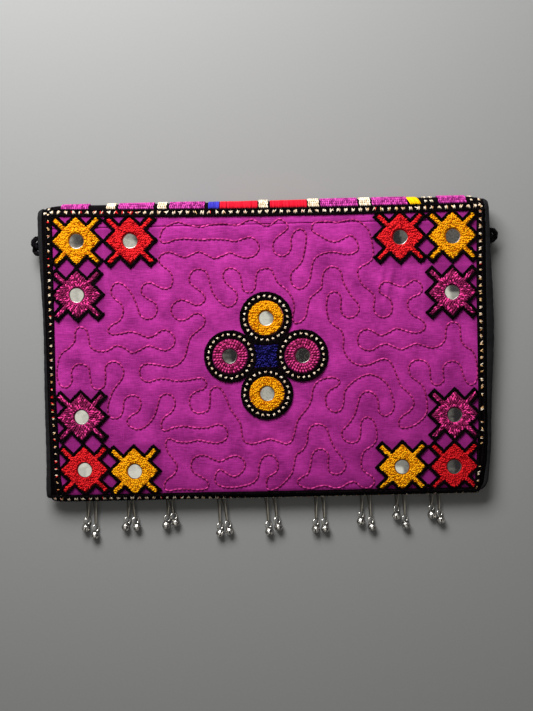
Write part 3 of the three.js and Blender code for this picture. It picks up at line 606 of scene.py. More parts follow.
def floss(name, dark, light, roughness=0.5, gloss=0.4):
    """Mercerised cotton floss, loosely spun: a soft gleam in its own colour, each stitch a shade apart."""
    finish, tree = new_finish(name)
    tone = add_node(tree, "ShaderNodeAttribute", attribute_name="tone")
    place = add_node(tree, "ShaderNodeTexCoord")
    # Strands of 0.15 mm are too fine to show, so they are drawn 0.4 mm apart.
    strands = add_node(
        tree, "ShaderNodeTexNoise",
        {"Vector": place.outputs["Object"], "Scale": 1 / (0.4 * MM), "Detail": 2.0, "Roughness": 0.6},
    )
    shade = add_node(
        tree, "ShaderNodeMix",
        {FACTOR: 0.2, 2: tone.outputs["Fac"], 3: strands.outputs["Fac"]}, data_type="FLOAT",
    )
    colour = add_node(
        tree, "ShaderNodeMix",
        {FACTOR: shade.outputs[0], MIX_A: linear(dark), MIX_B: linear(light)}, data_type="RGBA",
    )
    bump = add_node(
        tree, "ShaderNodeBump", {"Height": strands.outputs["Fac"], "Strength": 0.5, "Distance": 0.12 * MM}
    )
    surface = add_node(tree, "ShaderNodeBsdfPrincipled", {
        "Base Color": colour.outputs[MIXED], "Roughness": roughness, "Specular IOR Level": gloss,
        "Specular Tint": linear(light), "Normal": bump.outputs["Normal"],
    })
    add_node(tree, "ShaderNodeOutputMaterial", {"Surface": surface.outputs["BSDF"]})
    return finish


WAVE_TURN = 2 * math.pi / 20


def woven(name, dark, light, thread_mm, sheen, sheen_tint, roughness, gloss, weave_depth):
    """Plain-woven cotton: dull, with slubs along both thread directions and a faint fuzz at its edges."""
    finish, tree = new_finish(name)
    cloth = add_node(tree, "ShaderNodeAttribute", attribute_name="cloth")
    spot = cloth.outputs["Vector"]
    # Threads of 0.4 mm are too fine to show, so they are drawn coarser, thread_mm apart.
    weft, warp = (
        add_node(
            tree, "ShaderNodeTexWave",
            {"Vector": spot, "Scale": WAVE_TURN / thread_mm, "Distortion": 1.2, "Detail": 1.0,
             "Detail Scale": 0.6},
            bands_direction=way,
        )
        for way in ("X", "Y")
    )
    weave = add_node(
        tree, "ShaderNodeMath", {0: weft.outputs["Fac"], 1: warp.outputs["Fac"]}, operation="MULTIPLY"
    )
    # Slubs are about 5 mm long and 0.6 mm thick, along and across.
    slub_noises = []
    for stretch in ((1 / 5, 1 / 0.6, 1), (1 / 0.6, 1 / 5, 1)):
        stretched = add_node(tree, "ShaderNodeMapping", {"Vector": spot, "Scale": stretch})
        slub_noises.append(add_node(
            tree, "ShaderNodeTexNoise", {"Vector": stretched.outputs["Vector"], "Scale": 1.0, "Detail": 2.0}
        ))
    long_slubs, cross_slubs = (noise.outputs["Fac"] for noise in slub_noises)
    # The dye took unevenly over patches of about 15 mm.
    patches = add_node(tree, "ShaderNodeTexNoise", {"Vector": spot, "Scale": 1 / 15, "Detail": 3.0})
    slubs = add_node(
        tree, "ShaderNodeMix",
        {FACTOR: 0.3, 2: long_slubs, 3: cross_slubs}, data_type="FLOAT",
    )
    uneven = add_node(
        tree, "ShaderNodeMix",
        {FACTOR: 0.45, 2: slubs.outputs[0], 3: patches.outputs["Fac"]}, data_type="FLOAT",
    )
    spread = add_node(
        tree, "ShaderNodeMapRange",
        {"Value": uneven.outputs[0], "From Min": 0.37, "From Max": 0.63, "To Min": 0.0, "To Max": 1.0},
    )
    colour = add_node(
        tree, "ShaderNodeMix",
        {FACTOR: spread.outputs["Result"], MIX_A: linear(dark), MIX_B: linear(light)}, data_type="RGBA",
    )
    # The cloth is darkened towards its dark colour by painted shade, as much as the shade fact at its points
    # says.
    soil = add_node(tree, "ShaderNodeAttribute", attribute_name="soil")
    soiled = add_node(
        tree, "ShaderNodeMix",
        {FACTOR: soil.outputs["Fac"], MIX_A: colour.outputs[MIXED], MIX_B: linear(dark)}, data_type="RGBA",
    )
    threads = add_node(
        tree, "ShaderNodeMix",
        {FACTOR: 0.35, 2: weave.outputs["Value"], 3: slubs.outputs[0]}, data_type="FLOAT",
    )
    bump = add_node(
        tree, "ShaderNodeBump", {"Height": threads.outputs[0], "Strength": 0.6, "Distance": weave_depth * MM}
    )
    surface = add_node(tree, "ShaderNodeBsdfPrincipled", {
        "Base Color": soiled.outputs[MIXED], "Roughness": roughness, "Specular IOR Level": gloss,
        "Sheen Weight": sheen, "Sheen Roughness": 0.5, "Sheen Tint": linear(sheen_tint),
        "Normal": bump.outputs["Normal"],
    })
    add_node(tree, "ShaderNodeOutputMaterial", {"Surface": surface.outputs["BSDF"]})
    return finish


def silvered_glass():
    """Hand-cut silvered glass: a plain reflection, spotted where the silvering has aged, dulled partly by
    aged silvering and partly by painted shade.
    """
    finish, tree = new_finish("silvered_glass")
    dull = add_node(tree, "ShaderNodeAttribute", attribute_name="dull")
    place = add_node(tree, "ShaderNodeTexCoord")
    # Age spots are about 1 mm across.
    spots = add_node(
        tree, "ShaderNodeTexNoise",
        {"Vector": place.outputs["Object"], "Scale": 1 / (1.0 * MM), "Detail": 3.0},
    )
    aged = add_node(
        tree, "ShaderNodeMapRange",
        {"Value": spots.outputs["Fac"], "From Min": 0.35, "From Max": 0.7, "To Min": -0.15, "To Max": 0.2},
    )
    amount = add_node(
        tree, "ShaderNodeMath", {0: dull.outputs["Fac"], 1: aged.outputs["Result"]},
        operation="ADD", use_clamp=True,
    )
    colour = add_node(
        tree, "ShaderNodeMix",
        {FACTOR: amount.outputs["Value"], MIX_A: linear("#e9e7df"), MIX_B: linear("#857e7a")},
        data_type="RGBA",
    )
    rough = add_node(
        tree, "ShaderNodeMapRange",
        {"Value": amount.outputs["Value"], "From Min": 0.8, "From Max": 1.0, "To Min": 0.08, "To Max": 0.38},
    )
    surface = add_node(tree, "ShaderNodeBsdfPrincipled", {
        "Base Color": colour.outputs[MIXED], "Metallic": 1.0, "Roughness": rough.outputs["Result"],
        "Coat Weight": 0.4, "Coat Roughness": 0.05,
    })
    add_node(tree, "ShaderNodeOutputMaterial", {"Surface": surface.outputs["BSDF"]})
    return finish


def plated_brass():
    """Stamped brass with bright nickel plate: sharp highlights, painted shade in the open slits and on the
    undersides, and darker beside the seam.
    """
    finish, tree = new_finish("plated_brass")
    slit = add_node(tree, "ShaderNodeAttribute", attribute_name="slit")
    place = add_node(tree, "ShaderNodeTexCoord")
    # Handling marks are about 0.8 mm across.
    marks = add_node(
        tree, "ShaderNodeTexNoise",
        {"Vector": place.outputs["Object"], "Scale": 1 / (0.8 * MM), "Detail": 4.0},
    )
    rough = add_node(
        tree, "ShaderNodeMapRange",
        {"Value": marks.outputs["Fac"], "From Min": 0.3, "From Max": 0.7, "To Min": 0.2, "To Max": 0.4},
    )
    colour = add_node(
        tree, "ShaderNodeMix",
        {FACTOR: slit.outputs["Fac"], MIX_A: linear("#fbf6ee"), MIX_B: linear("#0c0a09")}, data_type="RGBA",
    )
    bump = add_node(
        tree, "ShaderNodeBump", {"Height": marks.outputs["Fac"], "Strength": 0.15, "Distance": 0.1 * MM}
    )
    surface = add_node(tree, "ShaderNodeBsdfPrincipled", {
        "Base Color": colour.outputs[MIXED], "Metallic": 1.0, "Roughness": rough.outputs["Result"],
        "Normal": bump.outputs["Normal"],
    })
    add_node(tree, "ShaderNodeOutputMaterial", {"Surface": surface.outputs["BSDF"]})
    return finish


magenta_cotton = woven(
    "magenta_cotton_cloth", "#771060", "#b42e92", thread_mm=0.75, sheen=0.12, sheen_tint="#d8a0f4",
    roughness=0.8, gloss=0.15, weave_depth=0.22,
)
black_cotton = woven(
    "black_cotton_cloth", "#090809", "#1c1a1c", thread_mm=0.75, sheen=0.05, sheen_tint="#a8a8b8",
    roughness=0.8, gloss=0.15, weave_depth=0.15,
)
crimson_thread = floss("crimson_running_thread", "#56022c", "#f454b0", 0.35, 0.45)
black_floss = floss("black_cotton_floss", "#020102", "#120d0f", 0.8, 0.2)
cream_floss = floss("cream_cotton_floss", "#b48e68", "#fff2dc", 0.55, 0.3)
straw_floss = floss("straw_cotton_floss", "#96602c", "#f4cc90", 0.55, 0.3)
spine_cream_floss = floss("ivory_cotton_floss", "#c0a680", "#fff4e0", 0.6, 0.15)
red_floss = floss("red_cotton_floss", "#8c0610", "#f22a30", 0.45, 0.5)
spine_red_floss = floss("scarlet_cotton_floss", "#b80c24", "#e42438", 0.6, 0.1)
marigold_floss = floss("marigold_cotton_floss", "#ae5000", "#ffb917", 0.45, 0.5)
lemon_floss = floss("lemon_cotton_floss", "#d89804", "#ffd010", 0.6, 0.15)
magenta_floss = floss("magenta_cotton_floss", "#240008", "#f6469c", 0.35, 0.5)
rose_floss = floss("rose_cotton_floss", "#460018", "#d8428a", 0.4, 0.4)
pink_floss = floss("pink_cotton_floss", "#680c52", "#dc54b4", 0.6, 0.15)
blue_floss = floss("blue_cotton_floss", "#04030c", "#2a267c", 0.5, 0.3)
spine_blue_floss = floss("royal_blue_cotton_floss", "#1c1878", "#4a45cc", 0.5, 0.4)
bell_thread = floss("waxed_bell_thread", "#14110e", "#c4bcac", 0.4, 0.5)
black_cord = floss("plied_black_cord", "#040304", "#151315", 0.8, 0.2)
mirror_glass = silvered_glass()
bell_metal = plated_brass()
STAR_FLOSS = {"marigold": marigold_floss, "red": red_floss, "magenta": magenta_floss, "rose": rose_floss}

# Camera

camera = bpy.data.objects.new("photo_camera", bpy.data.cameras.new("photo_camera"))
camera.location = (EYE_X * MM, EYE_Y * MM, EYE_Z * MM)
camera.rotation_euler = (0, 0, -ROLL)
camera.data.sensor_width = SENSOR_MM
camera.data.lens = FOCAL_PX * SENSOR_MM / FRAME_HEIGHT_PX
camera.data.clip_start = 0.01
bpy.context.scene.collection.objects.link(camera)
bpy.context.scene.camera = camera

# Flap

QUILTING_PITCH = QUILTING_STITCH + QUILTING_GAP
quilting_line = smooth_path(flap_place(QUILTING_PIXELS), 8, closed=True)
quilting_along = lengths(quilting_line)
quilting_tree = KDTree(len(quilting_line))
for i, (x, s) in enumerate(quilting_line):
    quilting_tree.insert((x, s, 0), i)
quilting_tree.balance()

CHANNEL_DEPTH, CHANNEL_WAVE, CHANNEL_HALF = 0.24, 0.06, 1.05
PILLOW_HIGH, PILLOW_HALF = 0.26, 2.6


def quilted(x, s):
    """Relief of the quilting: a channel along the stitches, deepest between them, and soft pillows."""
    found = [quilting_tree.find((a, b, 0))[1:] for a, b in zip(x.ravel(), s.ravel())]
    nearest = np.array([i for i, _ in found]).reshape(x.shape)
    away = np.array([d for _, d in found]).reshape(x.shape)
    pull = CHANNEL_DEPTH - CHANNEL_WAVE * np.cos(2 * math.pi * quilting_along[nearest] / QUILTING_PITCH)
    pillow = PILLOW_HIGH * (1 - hump(away, PILLOW_HALF))
    inside = smooth(PANEL_HALF_WIDTH - np.abs(x), 4, 12) * smooth(s, -96, -86) * smooth(-s, -84, -78)
    return (pillow - pull * hump(away, CHANNEL_HALF)) * inside


# Painted shade on the cloth at the lower right, along the lower edge and between the stars' stitches.
PAINTED_CORNER_SHADE, PAINTED_EDGE_SHADE, PAINTED_STAR_SHADE = 0.45, 0.3, 0.7


def soiled_cloth(x, s):
    """How much painted shade darkens the cloth: between the stars' stitches, at the lower right and along
    the lower edge.
    """
    soil = PAINTED_CORNER_SHADE * smooth(x, 20, 120) * smooth(-s, 5, 60) + PAINTED_EDGE_SHADE * smooth(-s, 72, 90)
    for names in STAR_THREADS.values():
        for name in names:
            star_x, star_s = motif_place("mirror_" + name)
            away = np.maximum(np.abs(x - star_x), np.abs(s - star_s))
            soil = np.maximum(soil, PAINTED_STAR_SHADE * smooth(-away, -19, -15))
    return soil


FLAP_COLUMNS, FLAP_ROWS, UNDERSIDE_STEP = 313, 241, 8
CREASE_CROWDING, CREASE_REACH = 5, 1.2
FLAP_EDGE = PANEL_HALF_WIDTH + 0.8

flap_xs = np.linspace(-FLAP_EDGE, FLAP_EDGE, FLAP_COLUMNS)
row_guess = np.linspace(CURL_END, SPINE_END, 4000)
row_crowding = np.cumsum(1 + CREASE_CROWDING * hump(row_guess - CREASE_AT, CREASE_REACH))
flap_ss = np.interp(np.linspace(row_crowding[0], row_crowding[-1], FLAP_ROWS), row_crowding, row_guess)
flap_x, flap_s = np.meshgrid(flap_xs, flap_ss)
flap_relief = quilted(flap_x, flap_s)
flap_top = on_flap(flap_x, flap_s, flap_relief + lie(flap_x, flap_s))
under_x, under_s = flap_x[::UNDERSIDE_STEP, ::UNDERSIDE_STEP], flap_s[::UNDERSIDE_STEP, ::UNDERSIDE_STEP]
flap_under = on_flap(under_x, under_s, -FLAP_THICKNESS)

top_index = np.arange(flap_x.size).reshape(flap_x.shape)
under_index = flap_x.size + np.arange(under_x.size).reshape(under_x.shape)
top_rim, under_rim = rim_of(top_index), rim_of(under_index)
flap_faces = grid_cells(top_index).tolist() + grid_cells(under_index)[:, ::-1].tolist()
for i, (a, b) in enumerate(zip(under_rim, np.roll(under_rim, -1))):
    above = np.take(top_rim, range(i * UNDERSIDE_STEP, (i + 1) * UNDERSIDE_STEP + 1), mode="wrap")
    flap_faces.append([int(a), int(b), *above[::-1].tolist()])
flap_points = np.concatenate([flap_top.reshape(-1, 3), flap_under.reshape(-1, 3)])
flap_cloth = np.concatenate([
    heights(np.column_stack([x.ravel(), s.ravel()]), 0.0) for x, s in ((flap_x, flap_s), (under_x, under_s))
])
flap_soil = np.concatenate([soiled_cloth(flap_x, flap_s).ravel(), np.zeros(under_x.size)])
flap = add_piece(
    "flap_cloth", flap_points, flap_faces, magenta_cotton, "magenta_cotton", ["flap"],
    cloth=flap_cloth, soil=flap_soil,
)

# Quilting stitches

QUILTING_SUNK, QUILTING_RISE, QUILTING_RINGS = -0.06, 0.36, 5
at, ahead = evenly(quilting_line, QUILTING_PITCH, closed=True)
half_stitch = QUILTING_STITCH / 2 * rng.uniform(0.88, 1.1, (len(at), 1))
drift = rng.normal(0, 0.08, (len(at), 1)) * leftward(ahead)
stitch_reach = ahead * half_stitch + drift
points, faces = stitches(
    heights(at - stitch_reach, QUILTING_SUNK), heights(at + stitch_reach, QUILTING_SUNK),
    QUILTING_THREAD, QUILTING_RISE, QUILTING_RINGS,
)
# Stitches that run from side to side are painted lighter than those that run to the spine, as a painted
# highlight.
level = each_point(smooth(np.abs(ahead[:, 0]), 0.2, 0.95), QUILTING_RINGS)
gleam, shade = (stitch_tones(len(at), QUILTING_RINGS) for _ in range(2))
tone = level * (0.05 + 0.55 * gleam**2) + 0.22 * shade
sew_piece("quilting_stitches", [(points, faces, tone)], crimson_thread, "magenta_thread")

# Stars

def star_outline(margin, steps=1):
    """The star's outline grown by a margin, with so many points along each of its edges."""
    grow = margin * math.sqrt(2)
    tip, arm, reach = STAR_TIP + grow, STAR_ARM_WIDTH / math.sqrt(2) + grow, 2 * STAR_ARM_REACH + grow
    quarter = [
        (tip, 0), ((tip + arm) / 2, (tip - arm) / 2), ((reach + arm) / 2, (reach - arm) / 2),
        ((reach - arm) / 2, (reach + arm) / 2), ((tip - arm) / 2, (tip + arm) / 2),
    ]
    quarter_turns = [[[c, s], [-s, c]] for c, s in ((1, 0), (0, 1), (-1, 0), (0, -1))]
    corners = np.concatenate([np.array(quarter) @ turn for turn in quarter_turns])
    t = np.linspace(0, 1, steps, endpoint=False)[:, None]
    return np.concatenate([a + (b - a) * t for a, b in zip(corners, np.roll(corners, -1, axis=0))])


def in_star(x, y, margin):
    """Whether points lie inside the star's outline grown by a margin."""
    grow = margin * math.sqrt(2)
    diamond = np.abs(x) + np.abs(y) < STAR_TIP + grow
    along, side = np.abs(x) + np.abs(y), np.abs(np.abs(x) - np.abs(y))
    arms = (along < 2 * STAR_ARM_REACH + grow) & (side < STAR_ARM_WIDTH / math.sqrt(2) + grow)
    return diamond | arms


def fill_stitches(thread, reach, keep):
    """Rows of short stitches over a motif, slanting or pointing out from its middle, as starts and ends."""
    _, length, step, row_step, _ = FILLS[thread]
    starts, ends = [], []
    for row, y in enumerate(np.arange(-reach, reach, row_step)):
        x = np.arange(-reach, reach, step) + (row % 2) * step / 2 + rng.uniform(-FILL_SLIP, FILL_SLIP)
        slant = FILL_SLANT * (1 if row % 2 else -1)
        middle = np.column_stack([x, np.full(len(x), y)]) + rng.normal(0, FILL_DRIFT, (len(x), 2))
        middle = middle[keep(middle[:, 0], middle[:, 1])]
        half = length / 2 * rng.uniform(0.75, 1.2, len(middle))
        if thread == "magenta":
            slant = np.arctan2(middle[:, 1], middle[:, 0])
        lean = slant + rng.normal(0, FILL_LEAN, len(middle))
        reach_each = half[:, None] * bearings(lean)
        starts.append(middle - reach_each)
        ends.append(middle + reach_each)
    return np.concatenate(starts), np.concatenate(ends)


# Heights over the cloth and tones of the stitched grounds. The dark ground and well tones are painted shade
# in the gaps between stitches and round the mirrors.
PAD_LOW, PAD_HIGH, WELL_HIGH = -0.4, 0.66, 0.34
GROUND_SHADE_TONE, WELL_SHADE_TONE, BLACK_TONE = 0.1, 0.0, 0.2
WELL_INNER, WELL_LAP, WELL_SIDES = 0.3, 1.2, 24
MIRROR_GAP = 0.3
FILL_INSET, FILL_FROM, FILL_RISE = 0.4, MIRROR_RADIUS + 0.9, 0.3
RIM_STITCHES, RIM_REACH, RIM_THREAD, RIM_RISE, RIM_INNER_HIGH, RIM_OUTER_HIGH = 34, 1.6, 0.7, 0.25, 0.8, 0.7


def mirror_rim_stitches():
    """Stitches over the edge of a mirror that hold it on: starts and ends as offsets from its middle."""
    turn = 2 * math.pi * (np.arange(RIM_STITCHES) + rng.uniform(-0.2, 0.2, RIM_STITCHES)) / RIM_STITCHES
    out = bearings(turn)
    far = MIRROR_RADIUS + RIM_REACH + rng.uniform(-0.15, 0.35, (RIM_STITCHES, 1))
    return out * (MIRROR_RADIUS + MIRROR_GAP), out * far


def round_star(count_each):
    """Points on the mirror's edge on the same bearings as the star's outline."""
    return unit(star_outline(0, count_each)) * (MIRROR_RADIUS + MIRROR_GAP)


def filling(thread, starts, ends):
    """Fill stitches at uneven heights, each with its own thickness and tone, in light and dark patches of
    painted shade.
    """
    count = len(starts)
    height = PAD_HIGH + rng.uniform(-0.2, 0.25, count)
    width, _, _, _, painted_shade_share = FILLS[thread]
    thick = width * rng.uniform(0.82, 1.15, count)
    made = stitches(np.column_stack([starts, height]), np.column_stack([ends, height]), thick, FILL_RISE)
    x, s = (starts + ends).T / 2
    patch = 0.2 * np.sin(1.3 * x + 2.1 * np.sin(0.7 * s)) * np.sin(1.5 * s + 1.7 * np.sin(0.6 * x))
    dark = rng.random(count) + patch < painted_shade_share
    tone = np.where(dark, rng.uniform(0, 0.2, count), rng.uniform(0.8, 1.0, count))
    return (*made, each_point(tone))


def mirror_motif(thread, place, ground, starts, ends, shade=0.0):
    """One stitched motif round a mirror: its ground, its filling and the stitches on the mirror's edge."""
    rim_starts, rim_ends = mirror_rim_stitches()
    parts = [placed(ground, place, GROUND_SHADE_TONE), placed(mirror_well, place, WELL_SHADE_TONE)]
    points, faces, tone = filling(thread, starts + place, ends + place)
    parts.append((points, faces, np.clip(tone + shade, 0, 1)))
    rim_starts = heights(rim_starts + place, RIM_INNER_HIGH)
    rim_ends = heights(rim_ends + place, RIM_OUTER_HIGH)
    made = stitches(rim_starts, rim_ends, RIM_THREAD, RIM_RISE)
    parts.append((*made, stitch_tones(RIM_STITCHES)))
    return parts


# Under each mirror lies a dark well, painted shade in the gap round the mirror.
well_inner, well_outer = (circle(radius, WELL_SIDES) for radius in (WELL_INNER, MIRROR_RADIUS + WELL_LAP))
mirror_well = ring_slab(well_inner, well_outer, PAD_LOW, WELL_HIGH)
star_ground = ring_slab(round_star(3), star_outline(-0.2, 3), PAD_LOW, PAD_HIGH)
for thread, names in STAR_THREADS.items():
    parts = []
    for name in names:
        starts, ends = fill_stitches(
            thread, STAR_TIP, lambda x, y: in_star(x, y, -FILL_INSET) & (np.hypot(x, y) > FILL_FROM)
        )
        shade = STAR_SHADES.get(name, 0.0)
        parts += mirror_motif(thread, motif_place("mirror_" + name), star_ground, starts, ends, shade)
    stars = ["star_" + name for name in names]
    sew_piece(thread + "_stars", parts, STAR_FLOSS[thread], thread + "_thread", stars)

# Black outlines of the stars

FIELD_EDGE = SIDE_BORDER_X - SIDE_BORDER_HALF - 0.3


def top_middle(x):
    """The middle line of the top border at x, which sags between its ends."""
    return TOP_BORDER_S + TOP_BORDER_LEAN * x - TOP_BORDER_SAG * (1 - (x / FLAP_HALF_WIDTH) ** 2)


def bottom_middle(x):
    """The middle line of the bottom border at x."""
    return BOTTOM_BORDER_S + BOTTOM_BORDER_LEAN * x


def in_field(points):
    """Points held inside the border."""
    x = np.clip(points[:, 0], -FIELD_EDGE, FIELD_EDGE)
    low = bottom_middle(x) + BOTTOM_BORDER_HALF
    high = top_middle(x) - TOP_BORDER_HALF
    return np.column_stack([x, np.clip(points[:, 1], low, high), points[:, 2]])


OUTLINE_HIGH, OUTLINE_CHAIN_HIGH, OUTLINE_SPREAD = 0.72, 0.82, 0.35
outline_inner, outline_outer = (star_outline(margin, 4) for margin in (-0.1, OUTLINE_WIDTH - 0.15))
outline_ground = ring_slab(outline_inner, outline_outer, PAD_LOW, OUTLINE_HIGH)
parts = []
for names in STAR_THREADS.values():
    for name in names:
        place = motif_place("mirror_" + name)
        line = star_outline(OUTLINE_WIDTH / 2) + place
        row = chain(line, OUTLINE_WIDTH + OUTLINE_SPREAD, OUTLINE_CHAIN_HIGH, closed=True)
        for points, faces, tone in (placed(outline_ground, place, BLACK_TONE), row):
            parts.append((in_field(points), faces, tone))
lattices = ["lattice_" + corner for corner in CORNERS]
sew_piece("star_outlines", parts, black_floss, "black_thread", lattices)

# Rosette

RING_SQUARES, RING_SQUARE_SIZE, RING_SQUARE_STITCHES, RING_SQUARE_HIGH = 24, 1.75, 3, 0.95
RING_CHAIN_INSET, RING_INNER_CHAIN, RING_OUTER_CHAIN = 0.85, 1.6, 2.1
SQUARE_RISE, SQUARE_LIFT = 0.2, 0.2
rosette_places = {}
for side_name in ("top", "bottom", "left", "right"):
    rosette_places[side_name] = motif_place("mirror_rosette_" + side_name)
ring_ground = ring_slab(circle(RING_INNER + 0.1, 72), circle(RING_OUTER - 0.2, 72), PAD_LOW, OUTLINE_HIGH)
disc_inner, disc_outer = (circle(radius, 48) for radius in (MIRROR_RADIUS + MIRROR_GAP, RING_INNER - 0.1))
disc_ground = ring_slab(disc_inner, disc_outer, PAD_LOW, PAD_HIGH)

black_parts, square_starts, square_ends = [], [], []
for place in rosette_places.values():
    black_parts.append(placed(ring_ground, place, BLACK_TONE))
    for radius, width in (
        (RING_INNER + RING_CHAIN_INSET, RING_INNER_CHAIN), (RING_OUTER - RING_CHAIN_INSET, RING_OUTER_CHAIN),
    ):
        black_parts.append(chain(circle(radius, 96) + place, width, OUTLINE_CHAIN_HIGH, closed=True))


def ragged_squares(centres, aheads, size, count):
    """Small squares of a few uneven stitches each: starts and ends, one square after another."""
    ahead = np.repeat(aheads, count, axis=0)
    left = leftward(ahead)
    offsets = (np.tile(np.arange(count), len(centres)) + 0.5) / count - 0.5
    total = len(ahead)
    middle = np.repeat(centres, count, axis=0)
    middle = middle + ahead * (0.72 * size * offsets + rng.normal(0, 0.1, total))[:, None]
    middle = middle + left * rng.normal(0, 0.14, (total, 1))
    lean = rng.normal(0, 0.45, total)[:, None]
    reach = (left * np.cos(lean) + ahead * np.sin(lean)) * size / 2 * rng.uniform(0.55, 1.05, (total, 1))
    return middle - reach, middle + reach


ring_mid = (RING_INNER + RING_OUTER) / 2 - 0.1
for place in rosette_places.values():
    turn = 2 * math.pi * np.arange(RING_SQUARES) / RING_SQUARES + 0.05
    out = bearings(turn)
    around = leftward(out)
    out_each = out * (ring_mid + rng.normal(0, 0.15, (RING_SQUARES, 1)))
    starts, ends = ragged_squares(place + out_each, around, RING_SQUARE_SIZE, RING_SQUARE_STITCHES)
    square_starts.append(heights(starts, RING_SQUARE_HIGH))
    square_ends.append(heights(ends, RING_SQUARE_HIGH))
square_starts, square_ends = np.concatenate(square_starts), np.concatenate(square_ends)
points, faces = stitches(square_starts, square_ends, SQUARE_THREAD, SQUARE_RISE)
tone = stitch_tones(len(square_starts))
sew_piece("rosette_ring_squares", [(points, faces, tone)], cream_floss, "spine_thread")


def centre_outline(side, steps=10):
    """The middle square's outline, whose sides are drawn in."""
    corners = np.array([(-side, -side), (side, -side), (side, side), (-side, side)])
    t = np.linspace(0, 1, steps, endpoint=False)[:, None]
    edges = []
    for a, b in zip(corners, np.roll(corners, -1, axis=0)):
        middle = (a + b) / 2
        middle *= 1 - CENTRE_HOLLOW / np.linalg.norm(middle)
        edges.append((1 - t) ** 2 * a + 2 * t * (1 - t) * middle + t * t * b)
    return np.concatenate(edges)


CENTRE_DRAW, CENTRE_CHAIN = 0.9, 1.6


def in_centre(x, y):
    """Whether points lie inside the middle square."""
    far, near = np.maximum(np.abs(x), np.abs(y)), np.minimum(np.abs(x), np.abs(y))
    return far + CENTRE_DRAW * (1 - (near / CENTRE_SIDE) ** 2) < CENTRE_SIDE - 0.2


rosette_middle = motif_place("rosette_centre")
centre_ground = ring_slab(
    centre_outline(CENTRE_SIDE + 0.1), centre_outline(CENTRE_FILL), PAD_LOW, OUTLINE_HIGH - 0.05
)
black_parts.append(placed(centre_ground, rosette_middle, BLACK_TONE))
for side in (CENTRE_SIDE + 0.9, CENTRE_SIDE + 2.4):
    black_parts.append(chain(centre_outline(side) + rosette_middle, CENTRE_CHAIN, OUTLINE_HIGH, closed=True))
sew_piece("rosette_outlines", black_parts, black_floss, "black_thread", ["rosette_rings"])

blue_ground = ring_slab(centre_outline(0.4), centre_outline(CENTRE_SIDE - 0.1), PAD_LOW, PAD_HIGH)
starts, ends = fill_stitches("blue", CENTRE_SIDE, in_centre)
parts = [
    placed(blue_ground, rosette_middle, WELL_SHADE_TONE),
    filling("blue", starts + rosette_middle, ends + rosette_middle),
]
sew_piece("rosette_middle", parts, blue_floss, "blue_thread", ["rosette_centre"])

DISC_SLOTS = {"marigold": "marigold_thread", "rose": "magenta_thread"}
# Rows of stitches of a rose disc: inner and outer radius and how many. Each stitch slips a little sideways.
DISC_ROWS, DISC_SLIP = ((5.4, 7.0, 24), (7.2, 8.8, 30), (9.0, 10.6, 36)), 0.06
for thread, names in DISC_THREADS.items():
    parts = []
    for name in names:
        if thread == "marigold":
            starts, ends = fill_stitches(
                thread, RING_INNER,
                lambda x, y: (np.hypot(x, y) > FILL_FROM) & (np.hypot(x, y) < RING_INNER - 0.5),
            )
        else:
            starts, ends = [], []
            for inner, outer, count in DISC_ROWS:
                turn = 2 * math.pi * (np.arange(count) + rng.uniform(-0.15, 0.15, count)) / count
                starts.append(inner * bearings(turn))
                ends.append(outer * bearings(turn + DISC_SLIP))
            starts, ends = np.concatenate(starts), np.concatenate(ends)
        parts += mirror_motif(thread, rosette_places[name], disc_ground, starts, ends)
    discs = ["rosette_disc_" + name for name in names]
    sew_piece(thread + "_rosette_discs", parts, STAR_FLOSS[thread], DISC_SLOTS[thread], discs)

# Mirrors

